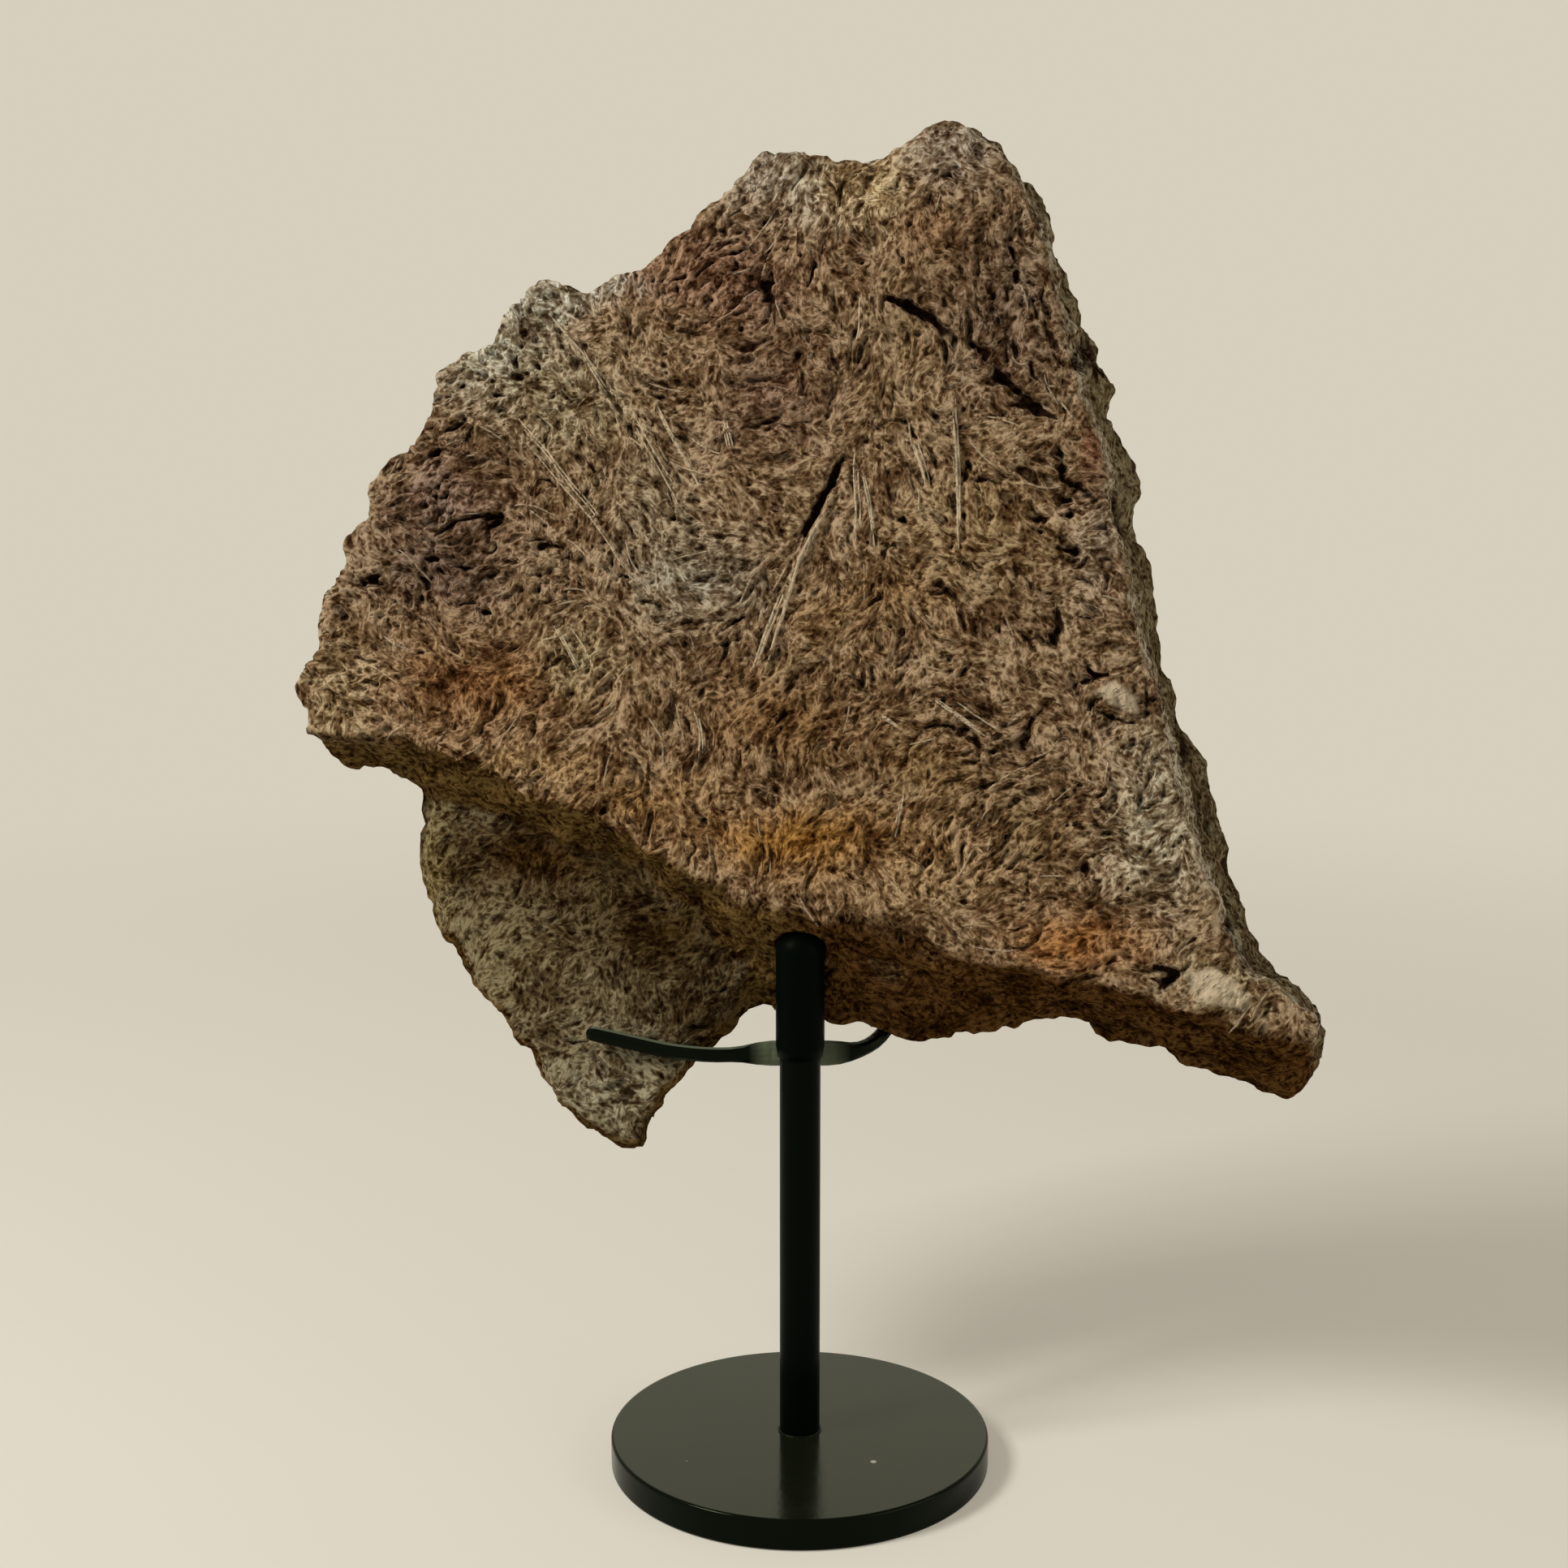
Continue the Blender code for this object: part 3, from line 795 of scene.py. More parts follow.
def surface_under(thing, across, up):
    """How far inwards the front surface lies at a place on the slab, in millimetres, or None."""
    inwards = Vector(slab_axes[:, 1])
    start = Vector((slab_axes @ (across, RAY_FROM, up) + SLAB_ORIGIN) * MM)
    met, hit, normal, _ = thing.ray_cast(start, inwards, distance=RAY_LENGTH)
    return to_slab(np.array(hit))[1] if met and normal @ inwards < -LEAST_FACING else None


bpy.context.view_layer.update()
print(f"the surface at the middle lies {surface_under(fossil, 0, 100):.1f} mm inwards")

# %% [markdown]
# The tube bridges the small gaps under it, tapers, and dives into the bone at both ends. A strand that
# would run over an edge or a step is left out, because nothing would carry it there, and so is one on the
# lobe, where the real bone shows none.

# %% One raised strand
TUBE_SIDES = 6
STRAND_SWAY = 0.3
LARGEST_DROP = 14
TIP_TAPER = 0.75
SINK = 0.15
END_DIVE = 1.2


def join_rings(edit, rings, closed):
    """The faces of a tube through rings of points, with a cap at each end unless it closes on itself."""
    sides = len(rings[0])
    for near, far in zip(rings, rings[1:] + rings[:1] if closed else rings[1:]):
        for side in range(sides):
            after = (side + 1) % sides
            edit.faces.new((near[side], far[side], far[after], near[after]))
    if not closed:
        edit.faces.new(rings[0])
        edit.faces.new(rings[-1][::-1])


def add_strand(edit, thing, points, thickness):
    """A closed tapering tube along a line of points on the front of a thing."""
    line = evenly(points, TUBE_STEP)
    line[:, 0] += STRAND_SWAY * soft_noise(line + 40, 9, seed=71)
    depths = [surface_under(thing, *place) for place in line]
    if None in depths or np.ptp(depths) > LARGEST_DROP:
        return
    depths = np.array(depths)
    if on_lobe(np.stack((line[:, 0], depths, line[:, 1]), 1)).any():
        return
    for _ in range(3):
        depths[1:-1] = np.minimum(depths[1:-1], (depths[:-2] + 2 * depths[1:-1] + depths[2:]) / 4)
    share = np.linspace(-1, 1, len(line))
    radius = thickness / 2 * (1 - TIP_TAPER * share**4)
    depths += SINK * thickness + END_DIVE * share**8
    forward = np.gradient(line, axis=0)
    forward /= np.linalg.norm(forward, axis=1)[:, None]
    rings = []
    for place, depth, ahead, wide in zip(line, depths, forward, radius):
        ring = []
        for side in range(TUBE_SIDES):
            turn = 2 * math.pi * side / TUBE_SIDES
            out = wide * math.cos(turn)
            corner = (place[0] - ahead[1] * out, depth + wide * math.sin(turn), place[1] + ahead[0] * out)
            ring.append(edit.verts.new((slab_axes @ corner + SLAB_ORIGIN) * MM))
        rings.append(ring)
    join_rings(edit, rings, closed=False)


print(f"a tube has {TUBE_SIDES} sides, and a ring every {TUBE_STEP} mm")

# %% [markdown]
# Each strand placed by eye becomes a small sheaf of three, no two the same, and each scattered one a single
# thread. They all go into one mesh.

# %% All the raised strands
SHEAF = 3
SHEAF_SPREAD = 0.5
MAIN_THICKNESS = 0.62
WISP_THICKNESS = 0.7

edit = bmesh.new()
for width, height, points in STRANDS:
    for offset in luck.normal(0, SHEAF_SPREAD, (SHEAF, 2)):
        start, end = luck.uniform(0, 0.2), luck.uniform(0.75, 1)
        whole = evenly(points, TUBE_STEP) + offset
        part = whole[round(start * len(whole)) : round(end * len(whole))]
        add_strand(edit, fossil, part, MAIN_THICKNESS * width)
main_strand_points = len(edit.verts)
for width, height, points in wisps:
    add_strand(edit, fossil, points, WISP_THICKNESS * width)
bmesh.ops.recalc_face_normals(edit, faces=edit.faces)
strands_mesh = bpy.data.meshes.new("raised_strands")
edit.to_mesh(strands_mesh)
edit.free()
strands_mesh.shade_smooth()
raised_strands = bpy.data.objects.new("raised_strands", strands_mesh)
bpy.context.scene.collection.objects.link(raised_strands)
print(f"raised strands: {sum(len(face.vertices) - 2 for face in strands_mesh.polygons)} triangles")

# %% [markdown]
# Minerals from the ground have stained the bone in soft patches: rust above the ridge and at the lower
# right, grey along the upper left and down the right, purple-brown at the left and the upper right. Each
# patch is one entry with its middle, its reach and its colour. A texture made of noise alone would put them
# anywhere.

# %% Stains, and painted light and shade on the lobe and the slope
BONE_BASE = "#77624c"
STAINS = [
    # across, up, reach across, reach up, colour, strength
    (-10, 224, 16, 12, "#8c8274", 0.9),
    (12, 222, 15, 9, "#998465", 0.85),
    (38, 229, 14, 12, "#85786a", 0.8),
    (33, 204, 14, 10, "#6a4f38", 0.8),
    (-34, 194, 26, 14, "#6d5140", 0.9),
    (-18, 190, 8, 8, "#5c463a", 0.7),
    (-58, 190, 9, 6, "#6e4f3a", 0.7),
    (-68, 189, 11, 4, "#b5b2a4", 0.7),
    (-91, 188, 12, 8, "#a29f90", 0.9),
    (-102, 168, 18, 14, "#938d7c", 0.9),
    (-80, 152, 18, 14, "#7f735c", 0.7),
    (-118, 122, 22, 16, "#645044", 0.9),
    (-117, 98, 24, 13, "#56453a", 0.9),
    (-102, 66, 30, 16, "#6c4c30", 0.9),
    (-150, 60, 12, 14, "#8b785c", 0.8),
    (-92, 42, 26, 5, "#856b4b", 0.7),
    (-75, 75, 12, 12, "#817459", 0.6),
    (-14, 158, 18, 18, "#604a3c", 0.85),
    (-34, 99, 19, 12, "#7d7465", 0.85),
    (-50, 120, 14, 18, "#7d705c", 0.6),
    (58, 184, 18, 26, "#5a493b", 0.9),
    (24, 172, 12, 20, "#6e5a42", 0.6),
    (82, 138, 5, 11, "#663f30", 0.8),
    (86, 112, 8, 18, "#77695a", 0.7),
    (49, 117, 24, 18, "#7b664a", 0.7),
    (20, 92, 26, 12, "#6f5539", 0.7),
    (-8, 56, 34, 14, "#674c31", 0.8),
    (0, 18, 36, 10, "#7c5629", 0.85),
    (-52, 34, 24, 8, "#715433", 0.8),
    (40, 42, 20, 14, "#664f34", 0.8),
    (38, 14, 22, 10, "#886f52", 0.7),
    (70, 24, 12, 14, "#655036", 0.7),
    (106, 30, 14, 30, "#948873", 0.85),
    (82, -7, 20, 8, "#784e2a", 0.85),
    (128, -18, 14, 8, "#84745a", 0.8),
]
LOBE_COLOUR = "#5c503c"
# The lobe's patches are painted light and shade: dark under the ridge and towards the right, as painted shade
# from the overhang, and paler at the left edge and the lower tip, as painted light from the lamp at the left.
LOBE_STAINS_LIGHT_AND_SHADE = [
    (-62, -62, 26, 15, "#716854", 0.85),
    (-92, -19, 20, 16, "#5c4f38", 0.6),
    (-88, 12, 40, 15, "#2e1c08", 0.95),
    (-45, -8, 34, 18, "#2e200e", 0.95),
    (-32, -34, 16, 16, "#342918", 0.8),
    (-124, 2, 6, 28, "#665839", 0.8),
]
# Painted shade for the slope under the ridge, which faces down.
SLOPE_SHADE_COLOURS = ("#49371f", "#3f2a16")
EDGE_COLOUR = "#867966"
BACK_COLOURS = ("#786a56", "#8f8672", "#715944", "#5d534a")
RICHNESS = 1.1
print(f"{len(STAINS)} stains on the face and {len(LOBE_STAINS_LIGHT_AND_SHADE)} on the lobe")

# %% [markdown]
# Noise frays the border of each patch. The lobe, the broken edges and the back have base colours of their
# own. The slope under the ridge faces down and gets painted shade, a darker brown. The result is stored on
# the points, where the material reads it.

# %% The stained colour, with painted light and shade
FRAY = (
    # size and push in millimetres, and what is added to the seed
    (15, 5, 0),
    (4, 2, 2),
)
SLOPE_FROM, SLOPE_TO = 0.25, 0.6
SLOPE_TOP, SLOPE_FULL = 60, 40
SLOPE_MIDDLE = 12
BACK_PATCH_SIZE = 38
BACK_PATCH_FROM, BACK_PATCH_TO = 0.05, 0.5


def paint_stains_light_and_shade(places, normals):
    """The stained colour with painted light and shade, at points on the slab's axes, as linear red, green and
    blue.
    """
    front, back, edge = facing(normals)
    across, up = [
        places[:, axis] + sum(push * soft_noise(places, size, seed + later) for size, push, later in FRAY)
        for axis, seed in ((0, 51), (2, 52))
    ]
    painted = np.tile(linear(BONE_BASE)[:3], (len(places), 1))

    def blend(colour, share):
        painted[:] = painted + share[:, None] * (np.array(linear(colour)[:3]) - painted)

    def blend_patches(patches, share):
        for middle, height, reach, rise, colour, strength in patches:
            near = np.exp(-(((across - middle) / reach) ** 2) - ((up - height) / rise) ** 2)
            blend(colour, strength * near * share)

    blend_patches(STAINS, 1)
    blend(EDGE_COLOUR, edge)
    lobe = np.maximum(front, edge) * on_lobe(places)
    blend(LOBE_COLOUR, lobe)
    # Painted light and shade on the lobe.
    blend_patches(LOBE_STAINS_LIGHT_AND_SHADE, lobe)
    # The slope under the ridge faces down, out of the light, and gets painted shade: two darker browns.
    shaded_slope = soft_step(SLOPE_FROM, SLOPE_TO, -normals[:, 2]) * soft_step(SLOPE_TOP, SLOPE_FULL, places[:, 2])
    blend(SLOPE_SHADE_COLOURS[1], shaded_slope)
    blend(SLOPE_SHADE_COLOURS[0], shaded_slope * soft_step(SLOPE_MIDDLE, -SLOPE_MIDDLE, across))
    blend(BACK_COLOURS[0], back)
    for number, colour in enumerate(BACK_COLOURS[1:]):
        patch = soft_noise(places, BACK_PATCH_SIZE, 61 + number)
        blend(colour, back * soft_step(BACK_PATCH_FROM, BACK_PATCH_TO, patch))
    grey = painted.mean(1, keepdims=True)
    return np.clip(grey + RICHNESS * (painted - grey), 0, 1)


# The walls of a gash belong to the face that it cuts, so smoothed normals tell face from edge.
NORMAL_ROUNDS = 30
edges = read(bone_mesh, "vertices", "edges", 2, np.int32)
broad_normals = smoothed(bone_normals, edges, NORMAL_ROUNDS)
broad_normals /= np.linalg.norm(broad_normals, axis=1)[:, None]
print("smoothed normals of", len(broad_normals), "points")

# %% [markdown]
# Beside the stain with its painted light and shade, four more values go on the points: where the point is
# on the slab, which way the fibres run there, how deep it lies in a groove, a gap or a hole, which sets
# painted shade there, and how far it stands out as a strand. A material alone couldn't know where the marks
# are.

# %% Values stored on the points
GAP_BELOW = 0.62
DEEP_FROM, DEEP_TO = 0.6, 2.8
PROUD_FROM, PROUD_TO = 0.4, 1.4
CRUMBLE_SIZES = (7, 3.2)
CRUMBLE_SECOND = 0.6
CRUMBLE_DARKNESS = 0.8
THREAD_PALENESS = 0.55


def store(mesh, name, values, kind="FLOAT"):
    """Keep a value for each point of a mesh, for its material to read."""
    field = {"FLOAT": "value", "FLOAT_VECTOR": "vector", "FLOAT_COLOR": "color"}[kind]
    values = np.ascontiguousarray(values, np.float32).ravel()
    mesh.attributes.new(name, kind, "POINT").data.foreach_set(field, values)


def store_bone_values(mesh, normals):
    """Store a bone mesh's places, fibres and painted stain, light and shade; give back how deep and how proud
    each point is.
    """
    places = to_slab(read(mesh, "co", "vertices", 3).astype(float))
    front, back, edge = facing(normals)
    way = np.where(normals[:, 1] < 0, 1, -1)
    across, up = way * places[:, 0], places[:, 2]
    mark = on_chart(marks, across, np.where(way > 0, up, up - BACK_SHIFT)) * (front + back)
    weave_up = np.where(way > 0, up, up + BACK_SHIFT)
    gap = np.clip(GAP_BELOW - on_chart(woven, across, weave_up), 0, 1) * (front + back)
    coarse, fine = [soft_noise(places, size, seed) for size, seed in zip(CRUMBLE_SIZES, (42, 43))]
    crumble = edge * np.clip(-coarse - CRUMBLE_SECOND * fine, 0, 1)
    turn = [on_chart(wave(2 * over_angle), across, weave_up) for wave in (np.cos, np.sin)]
    turn = np.stack((turn[0], turn[1] * way, 0 * up), 1) * (1 - edge[:, None])
    stain_light_and_shade = np.hstack((paint_stains_light_and_shade(places, normals), np.ones((len(places), 1))))
    store(mesh, "stain_light_and_shade", stain_light_and_shade, "FLOAT_COLOR")
    store(mesh, "slab_mm", places, "FLOAT_VECTOR")
    store(mesh, "fibre_turn", turn, "FLOAT_VECTOR")
    # deep is the share of painted shade: grooves, cracks and holes, the low gaps of the weave and the pits of
    # the broken edges.
    deep = np.clip(soft_step(DEEP_FROM, DEEP_TO, -mark) + gap + CRUMBLE_DARKNESS * crumble, 0, 1)
    return deep, soft_step(PROUD_FROM, PROUD_TO, mark)


deep, proud = store_bone_values(bone_mesh, broad_normals)
store(bone_mesh, "deep", deep)
store(bone_mesh, "proud", proud)

strand_count = len(strands_mesh.vertices)
store_bone_values(strands_mesh, np.tile((0.0, -1.0, 0.0), (strand_count, 1)))
store(strands_mesh, "deep", np.zeros(strand_count))
store(strands_mesh, "proud", np.where(np.arange(strand_count) < main_strand_points, 1.0, THREAD_PALENESS))
print("values stored on", len(bone_mesh.vertices) + strand_count, "points")

# %% [markdown]
# The names of the nodes used most, and of the sums that they do, so that the cells after this read as
# words.

# %% Names for nodes
ATTRIBUTE = "ShaderNodeAttribute"
NOISE = "ShaderNodeTexNoise"
CELLS = "ShaderNodeTexVoronoi"
RANGE = "ShaderNodeMapRange"
MATH = "ShaderNodeMath"
VECTOR_MATH = "ShaderNodeVectorMath"
MIX = "ShaderNodeMix"
PLUS = {"operation": "ADD"}
MINUS = {"operation": "SUBTRACT"}
TIMES = {"operation": "MULTIPLY"}
TIMES_FROM_0_TO_1 = {"operation": "MULTIPLY", "use_clamp": True}
TIMES_PLUS = {"operation": "MULTIPLY_ADD"}
TIMES_PLUS_FROM_0_TO_1 = {"operation": "MULTIPLY_ADD", "use_clamp": True}
LARGER = {"operation": "MAXIMUM"}
SMALLER = {"operation": "MINIMUM"}
TO_POWER = {"operation": "POWER"}
DOT_PRODUCT = {"operation": "DOT_PRODUCT"}
COLOURS = {"data_type": "RGBA"}
COLOURS_MULTIPLIED = {"data_type": "RGBA", "blend_type": "MULTIPLY"}
HALF = (0.5, 0.5, 0.5)
print("a node's kind is written as in", ATTRIBUTE)

# %% [markdown]
# Fossil bone is bone whose pores have filled with stone. It grew as a felt of fibres, so its surface is
# dull, with painted shade in the gaps and paler tops. The mesh holds the bundles of fibre, and the material
# adds the single fibres. They lie in small bundles, each turned its own way about the stored direction:
# cells of noise give every bundle a turn, at two sizes, and the places are bent a little first so that no
# fibre is straight.

# %% Bundles of fibre in the material
BEND_SIZE = 9
BEND = 0.6
BUNDLE_SIZES = (9, 5)
BUNDLE_TURNS = (1.2, 5.0)

bone, tree, shader = new_material("felted_fossil_bone")
slab_place = add_node(tree, ATTRIBUTE, {"attribute_name": "slab_mm"}, output="Vector")
fibre_turn = add_node(tree, ATTRIBUTE, {"attribute_name": "fibre_turn"}, output="Vector")
bend = add_node(tree, NOISE, {}, slab_place, Scale=1 / BEND_SIZE, Detail=1.0, output="Color")
bend = add_node(tree, VECTOR_MATH, MINUS, bend, HALF)
bend = add_node(tree, VECTOR_MATH, {"operation": "SCALE"}, bend, BEND)
bent_place = add_node(tree, VECTOR_MATH, PLUS, slab_place, bend)
turns = []
for size, strength in zip(BUNDLE_SIZES, BUNDLE_TURNS):
    bundle = add_node(tree, CELLS, {}, bent_place, Scale=1 / size, output="Color")
    bundle = add_node(tree, VECTOR_MATH, MINUS, bundle, HALF)
    own_turn = add_node(tree, VECTOR_MATH, TIMES_PLUS, bundle, (strength,) * 3, fibre_turn)
    own_turn = add_node(tree, VECTOR_MATH, TIMES, own_turn, (1, 1, 0))
    turns.append(add_node(tree, VECTOR_MATH, {"operation": "NORMALIZE"}, own_turn))
print("bundles:", len(tree.nodes), "nodes")

# %% [markdown]
# A fibre is a crest of stretched noise, 1.7 mm from middle to middle, as measured on the photograph against
# the half-inch post. Copies of the noise lie in eight directions, and each shows only where its direction
# fits a bundle's turn. The larger of all copies is kept at every point, so fibres of two layers cross.

# %% Fibres in eight directions
FIBRE_PITCH = 1.7
FIBRE_LENGTH = 6
DIRECTIONS = 8
NOISE_SHIFT = (17.0, 5.0, 9.0)
CREST_FROM, CREST_TO = 0.43, 0.68
SECOND_LAYER = 0.97
FIT_POWER = 3.5
FIT_GAIN = 1.4

fibres = 0
for number in range(DIRECTIONS):
    angle = math.pi * number / DIRECTIONS
    laid = add_node(
        tree,
        "ShaderNodeMapping",
        {"vector_type": "TEXTURE"},
        bent_place,
        Location=[number * shift for shift in NOISE_SHIFT],
        Rotation=(0, -angle, 0),
        Scale=(FIBRE_LENGTH, FIBRE_PITCH, FIBRE_PITCH),
    )
    crest = add_node(tree, NOISE, {}, laid, Scale=1.0, Detail=1.5, Roughness=0.5)
    crest = add_node(tree, RANGE, {}, crest, CREST_FROM, CREST_TO)
    direction = (math.cos(2 * angle), math.sin(2 * angle), 0)
    first, second = [add_node(tree, VECTOR_MATH, DOT_PRODUCT, turn, direction) for turn in turns]
    second = add_node(tree, MATH, TIMES, second, SECOND_LAYER)
    fit = add_node(tree, MATH, LARGER, first, second)
    fit = add_node(tree, MATH, LARGER, fit, 0.0)
    fit = add_node(tree, MATH, TO_POWER, fit, FIT_POWER)
    fit = add_node(tree, MATH, TIMES_FROM_0_TO_1, fit, FIT_GAIN)
    crest = add_node(tree, MATH, TIMES, crest, fit)
    fibres = add_node(tree, MATH, LARGER, fibres, crest)
print("with fibres:", len(tree.nodes), "nodes")

# %% [markdown]
# Between the fibres the bone is grainy. Pits are the mouths of pores, clumps are ends of fibres, grit is
# sand left in the gaps, and patches are where dirt stayed or was brushed off. Each has its size in
# millimetres.

# %% Pits, clumps, grit and patches
PIT_SIZE = 2.6
PIT_FROM, PIT_TO = 0.12, 0.38
PIT_FLOOR = 0.15
GRIT_SIZE = 0.9
CLUMP_SIZE = 2.8
PATCH_SIZE = 14

grit = add_node(tree, NOISE, {}, slab_place, Scale=1 / GRIT_SIZE, Detail=1.0)
clumps = add_node(tree, NOISE, {}, bent_place, Scale=1 / CLUMP_SIZE, Detail=1.0)
patches = add_node(tree, NOISE, {}, slab_place, Scale=1 / PATCH_SIZE, Detail=2.0)
pits = add_node(tree, CELLS, {}, bent_place, Scale=1 / PIT_SIZE)
pits = add_node(tree, RANGE, {}, pits, PIT_FROM, PIT_TO)
pits = add_node(tree, MATH, TIMES_PLUS, pits, 1 - PIT_FLOOR, PIT_FLOOR)
solid = add_node(tree, MATH, TIMES, fibres, pits)
print("with pits and grit:", len(tree.nodes), "nodes")

# %% [markdown]
# All of them together say how light a point is: the dark between the fibres and in the pits is painted
# shade, and the fibre tops are paler. That lightness then tints the stain: red, green and blue get different
# powers of it, so that a dark gap is brown and a pale top is greyer. Raised strands are paler still, and
# holes get painted shade, nearly black. Stone-filled bone has no gloss of its own, so its specular level is
# nought and its roughness high.

# %% Colour of the bone
# GAP_LIGHT sets the painted shade between the fibres and in the pits, TOP_LIGHT the paler fibre tops.
GAP_LIGHT, TOP_LIGHT = 0.12, 2.5
LIGHTNESS = (
    # pattern, gain and start
    (patches, 2.8, -0.4),
    (clumps, 2.6, -0.3),
    (grit, 1.2, 0.4),
    (solid, TOP_LIGHT - GAP_LIGHT, GAP_LIGHT),
)
DARKEST, LIGHTEST = 0.03, 2.4
TONE_POWERS = (0.90, 1.06, 1.24)
STRAND_COLOUR = "#d4c6ad"
STRAND_SHARE = 0.6
# Holes, grooves and gaps are painted with shade towards this near-black brown.
HOLE_SHADE_COLOUR = "#170b05"
HOLE_GAIN = 1.4
HOLE_SHARE = 0.97
FIBRE_IN_HOLE = -0.3
BONE_ROUGHNESS = 0.85

tone = 1.0
for pattern, gain, start in LIGHTNESS:
    part = add_node(tree, MATH, TIMES_PLUS, pattern, gain, start)
    tone = add_node(tree, MATH, TIMES, tone, part)
tone = add_node(tree, MATH, LARGER, tone, DARKEST)
tone = add_node(tree, MATH, SMALLER, tone, LIGHTEST)
channels = [add_node(tree, MATH, TO_POWER, tone, power) for power in TONE_POWERS]
tint = add_node(tree, "ShaderNodeCombineColor", {}, *channels)
stain_light_and_shade = add_node(tree, ATTRIBUTE, {"attribute_name": "stain_light_and_shade"}, output="Color")
colour = add_node(tree, MIX, COLOURS_MULTIPLIED, 1.0, stain_light_and_shade, tint)

proud = add_node(tree, ATTRIBUTE, {"attribute_name": "proud"}, output="Fac")
proud = add_node(tree, MATH, TIMES, proud, STRAND_SHARE)
colour = add_node(tree, MIX, COLOURS, proud, colour, linear(STRAND_COLOUR))

deep = add_node(tree, ATTRIBUTE, {"attribute_name": "deep"}, output="Fac")
left_over = add_node(tree, MATH, TIMES, solid, FIBRE_IN_HOLE)
hollow = add_node(tree, MATH, TIMES_PLUS_FROM_0_TO_1, deep, HOLE_GAIN, left_over)
hollow = add_node(tree, MATH, TIMES, hollow, HOLE_SHARE)
colour = add_node(tree, MIX, COLOURS, hollow, colour, linear(HOLE_SHADE_COLOUR))
fill(tree, shader.inputs["Base Color"], colour)
fill(tree, shader.inputs["Roughness"], BONE_ROUGHNESS)
fill(tree, shader.inputs["Specular IOR Level"], 0.0)
print("with colour:", len(tree.nodes), "nodes")

# %% [markdown]
# The same patterns give the relief of single fibres, 0.7 mm from gap to top, as a bump: the mesh would need
# ten times its triangles to hold them. The finished material goes on the slab and on its strands.

# %% Relief of the fibres
BUMP = "ShaderNodeBump"
FIBRE_RELIEF = 0.7 * MM
CLUMP_RELIEF = 2.2
GRIT_RELIEF = 0.2

height = add_node(tree, MATH, TIMES_PLUS, grit, GRIT_RELIEF, solid)
height = add_node(tree, MATH, TIMES_PLUS, clumps, CLUMP_RELIEF, height)
bump = add_node(tree, BUMP, {}, Strength=1.0, Distance=FIBRE_RELIEF, Height=height)
fill(tree, shader.inputs["Normal"], bump)
for piece in (fossil, raised_strands):
    piece.data.materials.clear()
    piece.data.materials.append(bone)
    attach(piece, "root")
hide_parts("frill_fragment")
print("bone material:", len(tree.nodes), "nodes")

# %% [markdown]
# The stand's round pieces are turned, as on a lathe: half a section is drawn once and spun round the post's
# axis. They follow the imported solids, with more sides. The sleeve is a short tube whose closed end is
# ground to a dome and whose open end is filed thinner where it slips over the post.

# %% The sleeve
BAR_SIDES = 64
DOME_HEIGHT = 6.9
SLEEVE_CROWN = 6.8
SLEEVE_TAPER = 3.4
BORE_RADIUS = 6.65
LIP_RADIUS = 6.95
WELD_TOGETHER = 0.005 * MM


def piece_from(name, edit):
    """A smooth object, riding on the stand, from the shape being edited."""
    bmesh.ops.recalc_face_normals(edit, faces=edit.faces)
    mesh = bpy.data.meshes.new(name)
    edit.to_mesh(mesh)
    edit.free()
    mesh.shade_smooth()
    made = bpy.data.objects.new(name, mesh)
    bpy.context.scene.collection.objects.link(made)
    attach(made, "root")
    return made


def turned(name, profile, sides):
    """A closed solid turned round the post's axis from a profile of radius and height in millimetres."""
    edit = bmesh.new()
    corners = [edit.verts.new((radius * MM, 0, height * MM)) for radius, height in profile]
    edges = [edit.edges.new(pair) for pair in zip(corners, corners[1:])]
    bmesh.ops.spin(edit, geom=corners + edges, axis=(0, 0, 1), angle=math.tau, steps=sides, use_merge=True)
    bmesh.ops.remove_doubles(edit, verts=edit.verts, dist=WELD_TOGETHER)
    return piece_from(name, edit)


def arc(step):
    """The sine and the cosine of angles from 0 to 90 degrees, a step apart."""
    return [(math.sin(math.radians(turn)), math.cos(math.radians(turn))) for turn in range(0, 91, step)]


sleeve_low, sleeve_high = (Vector(corner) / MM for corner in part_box("sleeve"))
sleeve_radius = sleeve_high.x
dome_foot = sleeve_high.z - DOME_HEIGHT
dome = [(sleeve_radius * sine, dome_foot + DOME_HEIGHT * cosine) for sine, cosine in arc(6)]
inner_top = sleeve_high.z - SLEEVE_CROWN
profile = [*dome, (sleeve_radius, sleeve_low.z + SLEEVE_TAPER), (LIP_RADIUS, sleeve_low.z)]
profile += [(BORE_RADIUS, sleeve_low.z), (BORE_RADIUS, inner_top), (0, inner_top)]
domed_sleeve = turned("domed_sleeve", profile, BAR_SIDES)
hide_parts("sleeve")
print(f"sleeve: {sleeve_high.z - sleeve_low.z:.1f} mm long and {2 * sleeve_radius:.1f} mm thick")

# %% [markdown]
# The post is cold-drawn bar, sawn off square. A close pair of rings at each end keeps its corners crisp,
# because the whole piece is shaded smooth.

# %% The post
SUPPORT = 0.3

post_low, post_high = (Vector(corner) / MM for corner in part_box("post"))
post_radius = post_high.x
profile = [(0, post_low.z), (post_radius, post_low.z), (post_radius, post_low.z + SUPPORT)]
profile += [(post_radius, post_high.z - SUPPORT), (post_radius, post_high.z), (0, post_high.z)]
painted_post = turned("painted_post", profile, BAR_SIDES)
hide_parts("post")
print(f"post: {post_high.z - post_low.z:.1f} mm long and {2 * post_radius:.1f} mm thick")

# %% [markdown]
# The disc is cut from plate. A file and the coat of paint leave its edges rounded by about a millimetre,
# which catches the light as a thin line.

# %% The disc
DISC_SIDES = 192
RIM_RADIUS = 1.0

